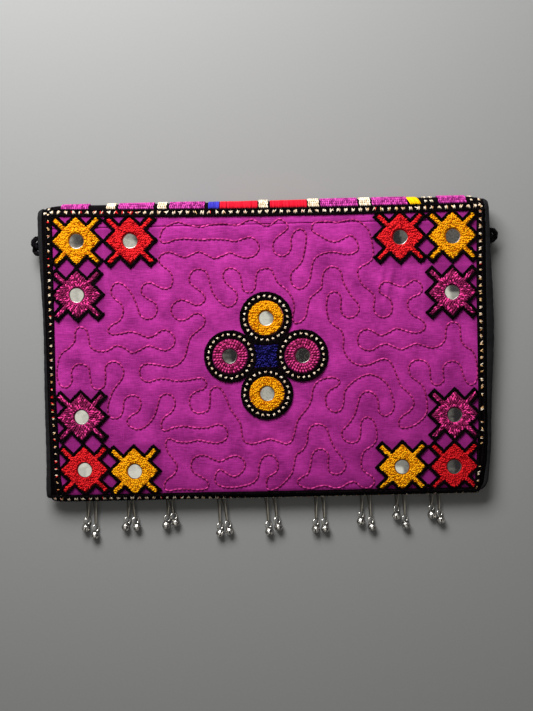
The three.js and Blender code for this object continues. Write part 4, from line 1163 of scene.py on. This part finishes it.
MIRROR_SIDES, MIRROR_RINGS = 40, 4
MIRROR_DOME, MIRROR_THICK, MIRROR_SEAT = 0.07, 0.8, -0.1
MIRROR_LIP, MIRROR_LIP_RISE, MIRROR_EDGE_DULL, MIRROR_WOBBLE = 0.24, 0.11, 2.0, 0.012
parts = []
for name, (lean_x, lean_y, dullness, gap_side) in MIRROR_LEANS.items():
    gap = math.radians(gap_side)
    place = motif_place("mirror_" + name) - MIRROR_SHIFT * np.array([math.cos(gap), math.sin(gap)])
    k = np.arange(MIRROR_SIDES)
    after = (k + 1) % MIRROR_SIDES
    bearing = 2 * math.pi * k / MIRROR_SIDES
    cut = 1 + 0.016 * np.sin(3 * bearing + gap) + 0.01 * np.sin(5 * bearing + lean_x)
    rims = (MIRROR_RADIUS - MIRROR_LIP, MIRROR_RADIUS, MIRROR_RADIUS, MIRROR_RADIUS)
    radii = (*np.linspace(0, rims[0], MIRROR_RINGS + 1)[1:], *rims)
    flat = np.concatenate([[[0, 0]]] + [circle(r, MIRROR_SIDES) * cut[:, None] for r in radii])
    wobble = MIRROR_WOBBLE * (np.sin(flat[:, 0] * 0.9 + lean_x) + np.sin(flat[:, 1] * 1.1 + lean_y))
    dome = MIRROR_DOME * (1 - (np.linalg.norm(flat, axis=1) / MIRROR_RADIUS) ** 2)
    h = MIRROR_SEAT + MIRROR_THICK + dome + wobble
    h += flat[:, 1] * math.tan(math.radians(lean_x)) - flat[:, 0] * math.tan(math.radians(lean_y))
    h[-3 * MIRROR_SIDES:] += MIRROR_LIP_RISE
    h[-MIRROR_SIDES:] -= MIRROR_LIP_RISE + MIRROR_THICK
    hub = np.column_stack([np.zeros(MIRROR_SIDES, int), 1 + k, 1 + after]).tolist()
    bands = [np.column_stack([1 + r * MIRROR_SIDES + k, 1 + (r + 1) * MIRROR_SIDES + k,
                              1 + (r + 1) * MIRROR_SIDES + after, 1 + r * MIRROR_SIDES + after]).tolist()
             for r in (*range(MIRROR_RINGS - 1), MIRROR_RINGS, MIRROR_RINGS + 2)]
    back = [(1 + (MIRROR_RINGS + 3) * MIRROR_SIDES + k)[::-1].tolist()]
    dull = np.full(len(flat), dullness)
    # The lip and edge are dulled: rougher, and darker as painted shade that tones down their reflection of
    # the softbox.
    dull[-4 * MIRROR_SIDES:] = MIRROR_EDGE_DULL
    parts.append((np.column_stack([flat + place, h]), hub + sum(bands, []) + back, dull))
points, faces, dull = gather(parts)
add_piece(
    "sewn_mirrors", on_flap(*points.T), faces, mirror_glass, "mirror_glass",
    ["mirror_" + name for name in MIRROR_LEANS], dull=dull,
)

# Border

BORDER_LOW, BORDER_HIGH, LOW_BORDER_HIGH, BORDER_STEP = -0.5, 0.7, 1.3, 0.9
BORDER_CHAIN, BORDER_CHAIN_INSET, BORDER_CHAIN_LIFT, BORDER_SQUARE_RISE = 1.4, 0.62, 0.1, 0.25
# Size of a square and how many stitches make it, in the long rows and in the left and right rows.
LONG_SQUARES = (2.5, 4)
SIDE_SQUARES = {-1: (1.9, 3), 1: (2.6, 4)}
border_parts = []
square_stitches = {"cream": [], "red": [], "straw": []}
long_xs = np.linspace(-FLAP_EDGE, FLAP_EDGE, 110)

SIDE_ROW_END = 92.0
# Places along the side rows of the border: s along the flap and x across it.
SIDE_ROWS = {
    -1: ((-95, -130.6), (-78, -132.8), (-26, -134.0), (40, -133.1), (92, -132.4)),
    1: ((-95, 130.4), (-54, 133.2), (-29, 133.5), (27, 133.0), (92, 133.6)),
}


def border_row(path, half, high, size, count, shares, dots):
    """A border row: chain stitch along both sides of a path, and squares of mixed threads on the dots."""
    at, ahead = evenly(path, BORDER_STEP)
    left = leftward(ahead)
    for side in (-1, 1):
        row = at + left * side * (half - BORDER_CHAIN_INSET)
        border_parts.append(chain(row, BORDER_CHAIN, high + BORDER_CHAIN_LIFT))
    centres, ways = evenly(dots, SQUARE_PITCH)
    starts, ends = ragged_squares(centres, ways, size, count)
    red, straw, bare = (np.repeat(share, count) for share in shares(centres))
    draw = rng.random(len(starts)) + (rng.random(len(starts)) < bare) * 2
    for thread, above, below in (("red", 0, red), ("straw", red, red + straw), ("cream", red + straw, 1)):
        chosen = (draw >= above) & (draw < below)
        made = [heights(line[chosen], high + SQUARE_LIFT) for line in (starts, ends)]
        square_stitches[thread].append(made)


def top_shares(places):
    """Shares of red, straw and lost stitches in the top row's squares."""
    red = np.where((places[:, 0] > -102) & (places[:, 0] < -80), 0.6, 0.05)
    return red, np.where(places[:, 0] > 60, 0.25, 0.06), np.full(len(places), 0.02)


def bottom_shares(places):
    """Shares of red, straw and lost stitches in the bottom row's squares."""
    return (np.full(len(places), 0.1),) * 3


def side_shares(places):
    """Shares of red, straw and lost stitches in the side rows' squares: more are left out at the lower
    right, so that the black ground shows there as painted shade.
    """
    left = places[:, 0] < 0
    warm = (places[:, 1] > 55) | (places[:, 1] < -20)
    left_out = np.where(left, 0.1, 0.15 + 0.55 * smooth(-places[:, 1], 0, 60))
    return np.where(left, np.where(warm, 0.4, 0.12), 0.04), np.where(left, 0.3, 0.4), left_out


# The lower row of squares runs out under the edge towards the right.
LOW_DOTS_SINK, LOW_DOTS_END = 3.0, CURL_END + 1.2
top_line = np.column_stack([long_xs, top_middle(long_xs)])
low_line = np.column_stack([long_xs, bottom_middle(long_xs)])
low_sink = LOW_DOTS_SINK * smooth(long_xs, -75, 10)
low_dots = np.column_stack([long_xs, np.maximum(low_line[:, 1] - low_sink, LOW_DOTS_END)])
for line, half, under, high, shares, dots in (
    (top_line, TOP_BORDER_HALF, 0.0, BORDER_HIGH, top_shares, top_line),
    (low_line, BOTTOM_BORDER_HALF, LOW_DOTS_SINK, LOW_BORDER_HIGH, bottom_shares, low_dots),
):
    points, faces = slab(long_xs, np.linspace(-half - under, half, 8), BORDER_LOW, high)
    points[:, 1] = np.maximum(points[:, 1] + np.interp(points[:, 0], *line.T), CURL_END + 0.2)
    border_parts.append((points, faces, BLACK_TONE))
    border_row(line, half, high, *LONG_SQUARES, shares, dots)

side_ss = np.linspace(BOTTOM_BORDER_S, SIDE_ROW_END, 95)
for sign in (-1, 1):
    row_s, row_x = np.array(SIDE_ROWS[sign]).T
    points, faces = slab(np.linspace(0, 1, 5), side_ss, BORDER_LOW, BORDER_HIGH)
    inner = np.interp(points[:, 1], row_s, row_x) - sign * (SIDE_BORDER_HALF + 0.3)
    points[:, 0] = inner + (sign * FLAP_EDGE - inner) * points[:, 0]
    border_parts.append((points, faces, BLACK_TONE))
    line = np.column_stack([np.interp(side_ss, row_s, row_x), side_ss])
    border_row(line, SIDE_BORDER_HALF, BORDER_HIGH, *SIDE_SQUARES[sign], side_shares, line)
borders = ["border_top", "border_bottom", "border_left", "border_right"]
sew_piece("border_bands", border_parts, black_floss, "black_thread", borders)
for thread, finish, slot in (
    ("cream", cream_floss, "spine_thread"), ("red", red_floss, "red_thread"),
    ("straw", straw_floss, "spine_thread"),
):
    starts, ends = (np.concatenate(lines) for lines in zip(*square_stitches[thread]))
    points, faces = stitches(starts, ends, SQUARE_THREAD, BORDER_SQUARE_RISE)
    tone = stitch_tones(len(starts))
    sew_piece("border_" + thread + "_squares", [(points, faces, tone)], finish, slot)

# Spine band

BAND_HIGH, BAND_GROUND_HIGH, BAND_GROUND_TONE = 0.55, 0.45, 0.25
BAND_ROWS, BAND_STEP, BAND_LEAN, BAND_THREAD, BAND_RISE, BAND_RINGS = 8, 1.15, 0.75, 1.05, 0.4, 4
SATIN_STEP, SATIN_RISE, SATIN_RINGS, SATIN_RAGGED, LEMON_LEAN = 0.85 * SQUARE_THREAD, 0.12, 12, 0.4, -5.0
DOT_STEP, DOT_SIZE, DOT_STITCHES, DOT_SHARES = 3.6, 2.0, 3, (0.14, 0.42, 0.7)
SPINE_FLOSS = {
    "pink": pink_floss, "cream": spine_cream_floss, "red": spine_red_floss, "blue": spine_blue_floss,
    "marigold": lemon_floss,
}
SPINE_SLOTS = {
    "pink": "spine_thread", "cream": "spine_thread", "red": "red_thread", "blue": "blue_thread",
    "marigold": "marigold_thread",
}


def band_edge(x):
    """Where the spine band starts above the top border at x."""
    return top_middle(x) + TOP_BORDER_HALF + 0.1


def along_band(x, share):
    """Places on the spine band at x, from its near edge at share 0 to its far edge at share 1."""
    return band_edge(x) * (1 - share) + BAND_END * share


band_xs, band_shares = np.linspace(-FLAP_EDGE, FLAP_EDGE, 80), np.linspace(0, 1, 14)
band_points, band_faces = slab(band_xs, band_shares, PAD_LOW, BAND_GROUND_HIGH)
band_points[:, 1] = along_band(band_points[:, 0], band_points[:, 1])
band_part = band_points, band_faces, BAND_GROUND_TONE
sew_piece("spine_ground", [band_part], black_floss, "black_thread", ["spine_band"])
for thread, finish in SPINE_FLOSS.items():
    parts = []
    for block_thread, left, right in SPINE_BLOCKS:
        if block_thread != thread:
            continue
        if thread in ("pink", "cream"):
            for row in range(BAND_ROWS):
                xs = np.arange(left + 0.5, right - 0.5, BAND_STEP)
                low, high = (along_band(xs, k / BAND_ROWS) for k in (row, row + 1))
                lean = BAND_LEAN if row % 2 else -BAND_LEAN
                starts = heights(np.column_stack([xs - lean / 2, low]), BAND_HIGH)
                ends = heights(np.column_stack([xs + lean / 2, high]), BAND_HIGH)
                made = stitches(starts, ends, BAND_THREAD, BAND_RISE, BAND_RINGS)
                parts.append((*made, stitch_tones(len(xs), BAND_RINGS)))
        else:
            xs = np.arange(left + 0.3, right, SATIN_STEP)
            xs = xs + rng.normal(0, 0.05, len(xs))
            lean = LEMON_LEAN if thread == "marigold" else 0.0
            near = band_edge(xs) + rng.uniform(0, SATIN_RAGGED, len(xs))
            far = BAND_END - rng.uniform(0, SATIN_RAGGED, len(xs))
            starts = heights(np.column_stack([xs, near]), BAND_HIGH)
            ends = heights(np.column_stack([xs + lean, far]), BAND_HIGH)
            made = stitches(starts, ends, SQUARE_THREAD, SATIN_RISE, SATIN_RINGS)
            parts.append((*made, stitch_tones(len(xs), SATIN_RINGS)))
    if thread == "cream":
        for left, right in SPINE_DOTTED:
            xs = np.arange(left + 1.8, right - 0.8, DOT_STEP)
            for share in DOT_SHARES:
                centres = np.column_stack([xs, along_band(xs, share)])
                ways = np.tile([1.0, 0.0], (len(xs), 1))
                dots = ragged_squares(centres, ways, DOT_SIZE, DOT_STITCHES)
                starts, ends = (heights(line, BAND_HIGH + SQUARE_LIFT) for line in dots)
                made = stitches(starts, ends, SQUARE_THREAD, SQUARE_RISE)
                parts.append((*made, stitch_tones(len(starts))))
    sew_piece("spine_" + thread + "_blocks", parts, finish, SPINE_SLOTS[thread])

# Side bindings

BINDING_WALL, BINDING_SECTION, BINDING_ROWS = 0.6, 15, 240
BINDING_WRAP, BINDING_BLUNT, BINDING_ROUND, BINDING_FLAT_M = 0.82 * math.pi, 0.62, 2.2, 0.0105
PUCKER, FINE_PUCKER, PUCKER_ASIDE, BINDING_WANDER = 0.10, 0.07, 0.4, 0.25
# How far each binding's outer edge swells or is drawn in, about which s and over what half length.
BINDING_SWAYS = {-1: (-1.2, 20.0, 34.0), 1: (2.5, 12.0, 40.0)}
binding_ss = np.linspace(CURL_END + 4, SPINE_END - 6, BINDING_ROWS)
for side_name, sign in (("left", -1), ("right", 1)):
    turn = np.linspace(-BINDING_WRAP, BINDING_WRAP, BINDING_SECTION)
    shape_x = np.sign(np.cos(turn)) * np.abs(np.cos(turn)) ** BINDING_BLUNT
    shape_h = np.sign(np.sin(turn)) * np.abs(np.sin(turn)) ** BINDING_BLUNT
    rows = []
    for wall in (0, BINDING_WALL):
        x = BINDING_X + (BINDING_HALF_WIDTH - wall) * shape_x
        h = BINDING_H + (BINDING_HALF_HEIGHT - wall) * shape_h
        rows.append((x, h))
    section_x = np.concatenate([rows[0][0], rows[1][0][::-1]])
    section_h = np.concatenate([rows[0][1], rows[1][1][::-1]])
    x = np.tile(section_x, (BINDING_ROWS, 1))
    h = np.tile(section_h, (BINDING_ROWS, 1))
    s = np.tile(binding_ss[:, None], (1, len(section_x)))
    sway, sway_at, sway_half = BINDING_SWAYS[sign]
    outer_share = smooth(x, BINDING_X - 1, BINDING_X + BINDING_HALF_WIDTH)
    x = x + sway * outer_share * hump(s - sway_at, sway_half)
    pucker = PUCKER * np.sin(s / 2.3 + 1.3 * np.sin(s / 9.0)) + FINE_PUCKER * np.sin(s / 0.9 + x)
    x = x + BINDING_WANDER * np.sin(s / 31.0 + sign) + pucker * PUCKER_ASIDE
    h = h + pucker
    points = on_flap(sign * x, s, h)
    n = len(section_x)
    k = np.arange(n)
    row = np.arange(BINDING_ROWS - 1)[:, None] * n
    walls = np.stack([row + k, row + (k + 1) % n, row + n + (k + 1) % n, row + n + k], -1).reshape(-1, 4)
    caps = np.array([[i, i + 1, n - 2 - i, n - 1 - i] for i in range(BINDING_SECTION - 1)])
    faces = np.concatenate([walls, caps[:, ::-1], caps + (BINDING_ROWS - 1) * n])
    around = np.tile(np.concatenate([turn, turn[::-1]]) * BINDING_ROUND, (BINDING_ROWS, 1))
    cloth = np.column_stack([around.ravel(), s.ravel(), np.zeros(s.size)])
    strip = add_piece(
        "side_binding_" + side_name, points.reshape(-1, 3), faces, black_cotton, "black_cotton",
        ["binding_" + side_name], cloth=cloth,
    )

# Pouch

POUCH_MOUTH_Y, POUCH_SIDE_X = 82.3, POUCH_HALF_WIDTH - POUCH_SIDE_ROUND
POUCH_PLAIN_X, POUCH_FOLD_REACH, POUCH_FLAT_LENGTH_M = 120, 6, 0.345


def pouch_front(x, y):
    """Height of the pouch's front face under the flap."""
    inner_x = np.minimum(np.abs(x), POUCH_SIDE_X)
    rise = TOP_Z + (y - TOP_Y) * math.tan(SLOPE) + crown(inner_x, y)
    return np.minimum(rise, TOP_Z) - FLAP_THICKNESS - CLEARANCE


def pouch_point(x, y, side, inset):
    """A point of the pouch's wall: side 1 for the front and -1 for the back."""
    beyond_side = np.maximum(0, np.abs(x) + inset - POUCH_SIDE_X) / POUCH_SIDE_ROUND
    beyond_fold = np.maximum(0, POUCH_FOLD_Y - y + inset) / POUCH_FOLD_ROUND
    rounding = np.sqrt(np.maximum(0, 1 - beyond_side**2) * np.maximum(0, 1 - beyond_fold**2))
    middle = pouch_front(x, y) / 2
    half = np.where(rounding > 0.001, np.maximum(middle * rounding - inset, 0.02), 0.0)
    return np.stack([x, y, middle + side * half], -1)


def weld(points, faces):
    """Joins points that lie together and drops faces that this leaves without area."""
    _, first, same = np.unique(np.round(points, 4), axis=0, return_index=True, return_inverse=True)
    kept = []
    for face in same.ravel()[faces].tolist():
        corners = [v for i, v in enumerate(face) if v != face[i - 1]]
        if len(corners) > 2:
            kept.append(corners)
    return points[first], kept


BACK_RISE_ROWS = 2
pouch_shells = []
for inset in (0.0, POUCH_WALL):
    edge = POUCH_HALF_WIDTH - inset
    crowding = np.sin(np.linspace(0, math.pi / 2, 9)) ** 2
    side_xs = (edge - POUCH_PLAIN_X) * crowding[:-1] - edge
    xs = np.concatenate([side_xs, np.linspace(-POUCH_PLAIN_X, POUCH_PLAIN_X, 41), -side_xs[::-1]])
    fold_end = POUCH_FOLD_Y - POUCH_FOLD_ROUND + inset
    fold = fold_end + (POUCH_FOLD_Y + POUCH_FOLD_REACH - fold_end) * crowding
    front_ys = np.concatenate([fold, np.linspace(fold[-1], POUCH_LIP_Y, 32)[1:]])
    back_ys = np.concatenate([front_ys, np.linspace(POUCH_LIP_Y, POUCH_MOUTH_Y, BACK_RISE_ROWS + 1)[1:]])
    back = pouch_point(*np.meshgrid(xs, back_ys), -1, inset)
    front = pouch_point(*np.meshgrid(xs, front_ys), 1, inset)
    pouch_shells.append(np.concatenate([back[::-1], front[1:]]))
outer, inner = pouch_shells
index = np.arange(outer[..., 0].size).reshape(outer.shape[:2])
faces = [grid_cells(index), grid_cells(index)[:, ::-1] + index.size]
for rim in (index[0], index[-1], index[:BACK_RISE_ROWS + 1, 0], index[:BACK_RISE_ROWS + 1, -1]):
    faces.append(np.stack([rim[:-1], rim[1:], rim[1:] + index.size, rim[:-1] + index.size], -1))
points, faces = weld(np.concatenate([outer.reshape(-1, 3), inner.reshape(-1, 3)]), np.concatenate(faces))
pouch = add_piece(
    "pouch_cloth", points * MM, faces, black_cotton, "black_cotton",
    ["pouch_back", "pouch_front", "pouch_edge"], cloth=points,
)

# Bells

BELL_TURNS, BELL_ROWS = 48, 36
RING_TURNS, RING_WIRE_SIDES = 28, 8
# The seam and its crimps, the slits with their round eyes, the darkening beside the seam and the painted
# shade on the lower half, as shares of the bell's radius.
SEAM_HALF, SEAM_HIGH, CRIMP_HALF, CRIMP_HIGH, CRIMPS = 0.12, 0.04, 0.3, 0.012, 12
SLIT_HALF, EYE_AT, EYE_HALF, OPEN_DEPTH = 0.11, 0.88, 0.22, 0.12
GROOVE_AT, GROOVE_HALF, GROOVE_DARKENING, LOWER_PAINTED_SHADE = 0.2, 0.08, 0.45, 0.85


def bell_ball(up, spin, nod):
    """A round bell: a seam round its middle, and two slits that cross under it and end in round eyes."""
    turn = 2 * math.pi * np.arange(BELL_TURNS) / BELL_TURNS
    polar = np.linspace(0, math.pi, BELL_ROWS)
    t, p = np.meshgrid(turn, polar)
    across, wide, along = np.sin(p) * np.cos(t), np.sin(p) * np.sin(t), np.cos(p)
    seam = hump(p - math.pi / 2, SEAM_HALF)
    below = smooth(-along, 0.3, 0.42)
    open_place = np.zeros_like(t)
    for this, other in ((across, wide), (wide, across)):
        slit = below * hump(this, SLIT_HALF, 4)
        eyes = hump(np.hypot(np.abs(other) - EYE_AT, this), EYE_HALF, 4) * smooth(-along, 0.1, 0.3)
        open_place = np.maximum(open_place, np.maximum(slit, eyes))
    crimp = hump(p - math.pi / 2, CRIMP_HALF) * np.cos(CRIMPS * t)
    relief = SEAM_HIGH * (seam - 1) + CRIMP_HIGH * crimp - OPEN_DEPTH * open_place
    radius = BELL_RADIUS * (1 + relief)
    way = np.array([up[0] * math.cos(nod), up[1] * math.cos(nod), -math.sin(nod)])
    side = np.array([-up[1], up[0], 0.0])
    over = np.cross(way, side)
    first = side * math.cos(spin) + over * math.sin(spin)
    second = over * math.cos(spin) - side * math.sin(spin)
    outward = along[..., None] * way + across[..., None] * first + wide[..., None] * second
    points = radius[..., None] * outward
    index = np.arange(t.size).reshape(t.shape)
    index = np.column_stack([index, index[:, 0]])
    # The open slits and eyes and the lower half are darkened as painted shade; the bell is also darker
    # beside the seam.
    grooves = GROOVE_DARKENING * hump(np.abs(p - math.pi / 2) - GROOVE_AT, GROOVE_HALF)
    painted_shade = LOWER_PAINTED_SHADE * smooth(-points[..., 2] / BELL_RADIUS, -0.85, -0.2)
    darkening = np.maximum(np.maximum(open_place, grooves), painted_shade)
    return points.reshape(-1, 3), grid_cells(index), darkening.ravel()


def wire_ring(up):
    """The split ring that a bell hangs from, tilted as it lies, bright on top and darker below as painted
    shade.
    """
    turn = 2 * math.pi * np.arange(RING_TURNS) / RING_TURNS
    wire = 2 * math.pi * np.arange(RING_WIRE_SIDES) / RING_WIRE_SIDES
    t, w = np.meshgrid(turn, wire, indexing="ij")
    out = BELL_RING_RADIUS + BELL_RING_WIRE * np.cos(w)
    x, y, z = out * np.cos(t), out * np.sin(t), BELL_RING_WIRE * np.sin(w)
    level, steep = math.cos(BELL_RING_TILT), math.sin(BELL_RING_TILT)
    x, z = x * level + z * steep, z * level - x * steep
    side = np.array([up[1], -up[0], 0.0])
    points = x[..., None] * side + y[..., None] * np.array([up[0], up[1], 0.0]) + z[..., None] * (0, 0, 1.0)
    index = np.arange(t.size).reshape(t.shape)
    index = np.column_stack([index, index[:, 0]])
    index = np.concatenate([index, index[:1]])
    painted_shade = 0.95 - 0.85 * smooth(np.sin(w), 0.2, 0.8)
    return points.reshape(-1, 3), grid_cells(index), painted_shade.ravel()


PLY_ASIDE = (0.3, 0.2, 1.0)


def plies(path, offset, count, pitch):
    """Paths of the strands of a twisted cord."""
    frames = carried_frames(path, PLY_ASIDE)
    along = lengths(path)
    for k in range(count):
        turn = 2 * math.pi * (along / pitch + k / count)
        yield path + offset * (np.cos(turn)[:, None] * frames[:, 0] + np.sin(turn)[:, None] * frames[:, 1])


bell_parts, thread_parts = [], []
for pair in BELL_PAIRS:
    for x, y, thread_x in pair:
        bell = np.array([x, y, BELL_RADIUS])
        up = np.array([thread_x - x, THREAD_MID_Y - y])
        up /= np.linalg.norm(up)
        points, faces, darkening = bell_ball(up, rng.uniform(0, math.pi), math.radians(rng.uniform(15, 60)))
        bell_parts.append((points + bell, faces, darkening))
        ring = bell[:2] + up * (BELL_RADIUS + BELL_RING_RADIUS - BELL_RING_WIRE)
        points, faces, darkening = wire_ring(up)
        bell_parts.append((points + (*ring, BELL_RING_Z), faces, darkening))
        end = ring + up * BELL_RING_RADIUS
        mid_x = thread_x + (end[0] - thread_x) * THREAD_MID_SHARE
        for side, strand_painted_tone in STRAND_SHADE_AND_LIGHT.items():
            apart = side * THREAD_APART
            route = smooth_path([
                (end[0] + apart * THREAD_CLOSE, end[1], BELL_RING_Z),
                (mid_x + apart, THREAD_MID_Y, THREAD_MID_Z),
                (thread_x + apart * THREAD_WIDE, THREAD_START_Y, THREAD_START_Z),
            ], 10)
            thread_parts.append((*tube(route, BELL_THREAD, 6), strand_painted_tone))
points, faces, slit = gather(bell_parts)
add_piece(
    "silver_bells", points * MM, faces, bell_metal, "silver_metal",
    ["bells_" + str(i + 1) for i in range(len(BELL_PAIRS))], slit=slit,
)
points, faces, tone = gather(thread_parts)
add_piece("bell_threads", points * MM, faces, bell_thread, "black_thread", tone=tone)

# Side knots

PLY_COUNT, PLY_OFFSET, PLY_RADIUS, PLY_PITCH, PLY_SIDES = 3, 0.52 * KNOT_CORD, 0.53 * KNOT_CORD, 6.0, 8
STUB_POINTS = 16
for side_name, sign in (("left", -1), ("right", 1)):
    u = np.linspace(0, 4 * math.pi, 97)
    ripple = 1.5 * u
    out = 2 + np.cos(ripple)
    knot = KNOT_RADIUS / 2 * np.column_stack([out * np.cos(u), out * np.sin(u), np.sin(ripple)])
    knot += (sign * KNOT_X, KNOT_Y, KNOT_Z)
    stub_xs = sign * np.linspace(POUCH_HALF_WIDTH + CLEARANCE, KNOT_STUB_END, STUB_POINTS)
    stub = np.column_stack([stub_xs, np.full(STUB_POINTS, KNOT_Y), np.full(STUB_POINTS, KNOT_Z)])
    parts = []
    for path in (knot, stub):
        for k, strand in enumerate(plies(path, PLY_OFFSET, PLY_COUNT, PLY_PITCH)):
            parts.append((*tube(strand, PLY_RADIUS, PLY_SIDES), 0.25 + 0.25 * k))
    points, faces, tone = gather(parts)
    add_piece(
        "cord_knot_" + side_name, points * MM, faces, black_cord, "black_cord", ["knot_" + side_name],
        tone=tone,
    )

# Floor, lights and colours

FLOOR_HALF, FLOOR_FADE_FROM, FLOOR_FADE_TO = 5.0, 0.5, 1.15
floor_mesh = bpy.data.meshes.new("floor")
floor_corners = [(x * FLOOR_HALF, y * FLOOR_HALF, 0) for x, y in ((-1, -1), (1, -1), (1, 1), (-1, 1))]
floor_mesh.from_pydata(floor_corners, [], [(0, 1, 2, 3)])
floor = bpy.data.objects.new("floor", floor_mesh)
bpy.context.scene.collection.objects.link(floor)
floor_finish, floor_tree = new_finish("matt_floor_paint")
floor_place = add_node(floor_tree, "ShaderNodeTexCoord")
# Roller marks in the paint are about 4 mm across.
floor_marks = add_node(
    floor_tree, "ShaderNodeTexNoise",
    {"Vector": floor_place.outputs["Object"], "Scale": 1 / (4 * MM), "Detail": 4.0},
)
floor_bump = add_node(
    floor_tree, "ShaderNodeBump",
    {"Height": floor_marks.outputs["Fac"], "Strength": 0.12, "Distance": 0.3 * MM},
)
# The floor's colour is paler away from the purse, painted light so that the floor stays pale where the
# softbox no longer reaches.
floor_way = add_node(
    floor_tree, "ShaderNodeVectorMath", {0: floor_place.outputs["Object"]}, operation="LENGTH"
)
floor_painted_light = add_node(
    floor_tree, "ShaderNodeMapRange",
    {"Value": floor_way.outputs["Value"], "From Min": FLOOR_FADE_FROM, "From Max": FLOOR_FADE_TO},
    interpolation_type="SMOOTHSTEP",
)
floor_colour = add_node(
    floor_tree, "ShaderNodeMix",
    {FACTOR: floor_painted_light.outputs["Result"], MIX_A: linear("#868685"), MIX_B: linear("#e0e0de")},
    data_type="RGBA",
)
floor_surface = add_node(floor_tree, "ShaderNodeBsdfPrincipled", {
    "Base Color": floor_colour.outputs[MIXED], "Roughness": 0.95, "Specular IOR Level": 0.1,
    "Normal": floor_bump.outputs["Normal"],
})
add_node(floor_tree, "ShaderNodeOutputMaterial", {"Surface": floor_surface.outputs["BSDF"]})
floor_mesh.materials.append(floor_finish)

SOFTBOX_WIDTH, SOFTBOX_DEPTH, SOFTBOX_POWER = 0.5, 0.31, 10.4
SOFTBOX_PLACE, SOFTBOX_AIM = (-0.18, 0.54, 0.44), (0, 0.2, 0)
softbox_data = bpy.data.lights.new("softbox", "AREA")
softbox_data.shape = "RECTANGLE"
softbox_data.size, softbox_data.size_y = SOFTBOX_WIDTH, SOFTBOX_DEPTH
softbox_data.energy = SOFTBOX_POWER
softbox = bpy.data.objects.new("softbox", softbox_data)
softbox.location = SOFTBOX_PLACE
softbox.rotation_euler = (Vector(SOFTBOX_AIM) - softbox.location).to_track_quat("-Z", "Y").to_euler()
softbox.visible_camera = False
bpy.context.scene.collection.objects.link(softbox)

# The ceiling has a bright and a dark half with soft patches, which the mirrors show, over plain grey walls.
SKY_BRIGHT_WAY, SKY_STRENGTH = (-0.8, -0.6, 0.0), 0.85
world = bpy.data.worlds.new("studio")
world.use_nodes = True
sky = world.node_tree
sky.nodes.clear()
sky_way = add_node(sky, "ShaderNodeTexCoord")
sky_side = add_node(
    sky, "ShaderNodeVectorMath", {0: sky_way.outputs["Generated"], 1: SKY_BRIGHT_WAY},
    operation="DOT_PRODUCT",
)
sky_share = add_node(
    sky, "ShaderNodeMapRange", {"Value": sky_side.outputs["Value"], "From Min": -0.02, "From Max": 0.03}
)
sky_parts = add_node(sky, "ShaderNodeSeparateXYZ", {"Vector": sky_way.outputs["Generated"]})
sky_height = add_node(
    sky, "ShaderNodeMapRange", {"Value": sky_parts.outputs["Z"], "From Min": 0.75, "From Max": 0.9}
)
sky_panel = add_node(
    sky, "ShaderNodeMath", {0: sky_share.outputs["Result"], 1: sky_height.outputs["Result"]},
    operation="MULTIPLY",
)
sky_noise = add_node(
    sky, "ShaderNodeTexNoise", {"Vector": sky_way.outputs["Generated"], "Scale": 9.0, "Detail": 2.0}
)
sky_patch = add_node(
    sky, "ShaderNodeMapRange",
    {"Value": sky_noise.outputs["Fac"], "From Min": 0.52, "From Max": 0.58, "To Max": 0.28},
)
sky_patch_high = add_node(
    sky, "ShaderNodeMath", {0: sky_patch.outputs["Result"], 1: sky_height.outputs["Result"]},
    operation="MULTIPLY",
)
sky_other = add_node(sky, "ShaderNodeMath", {0: 1.0, 1: sky_panel.outputs["Value"]}, operation="SUBTRACT")
sky_mottle = add_node(
    sky, "ShaderNodeMix",
    {FACTOR: sky_patch_high.outputs["Value"], 2: sky_panel.outputs["Value"], 3: sky_other.outputs["Value"]},
    data_type="FLOAT",
)
sky_ceiling = add_node(
    sky, "ShaderNodeMix",
    {FACTOR: sky_mottle.outputs[0], MIX_A: linear("#464548"), MIX_B: linear("#f2f2ea")}, data_type="RGBA",
)
sky_wall = add_node(
    sky, "ShaderNodeMapRange", {"Value": sky_parts.outputs["Z"], "From Min": 0.1, "From Max": 0.5}
)
sky_colour = add_node(
    sky, "ShaderNodeMix",
    {FACTOR: sky_wall.outputs["Result"], MIX_A: linear("#727271"), MIX_B: sky_ceiling.outputs[MIXED]},
    data_type="RGBA",
)
sky_light = add_node(
    sky, "ShaderNodeBackground", {"Color": sky_colour.outputs[MIXED], "Strength": SKY_STRENGTH}
)
add_node(sky, "ShaderNodeOutputWorld", {"Surface": sky_light.outputs["Background"]})
bpy.context.scene.world = world
bpy.context.scene.view_settings.view_transform = "Standard"
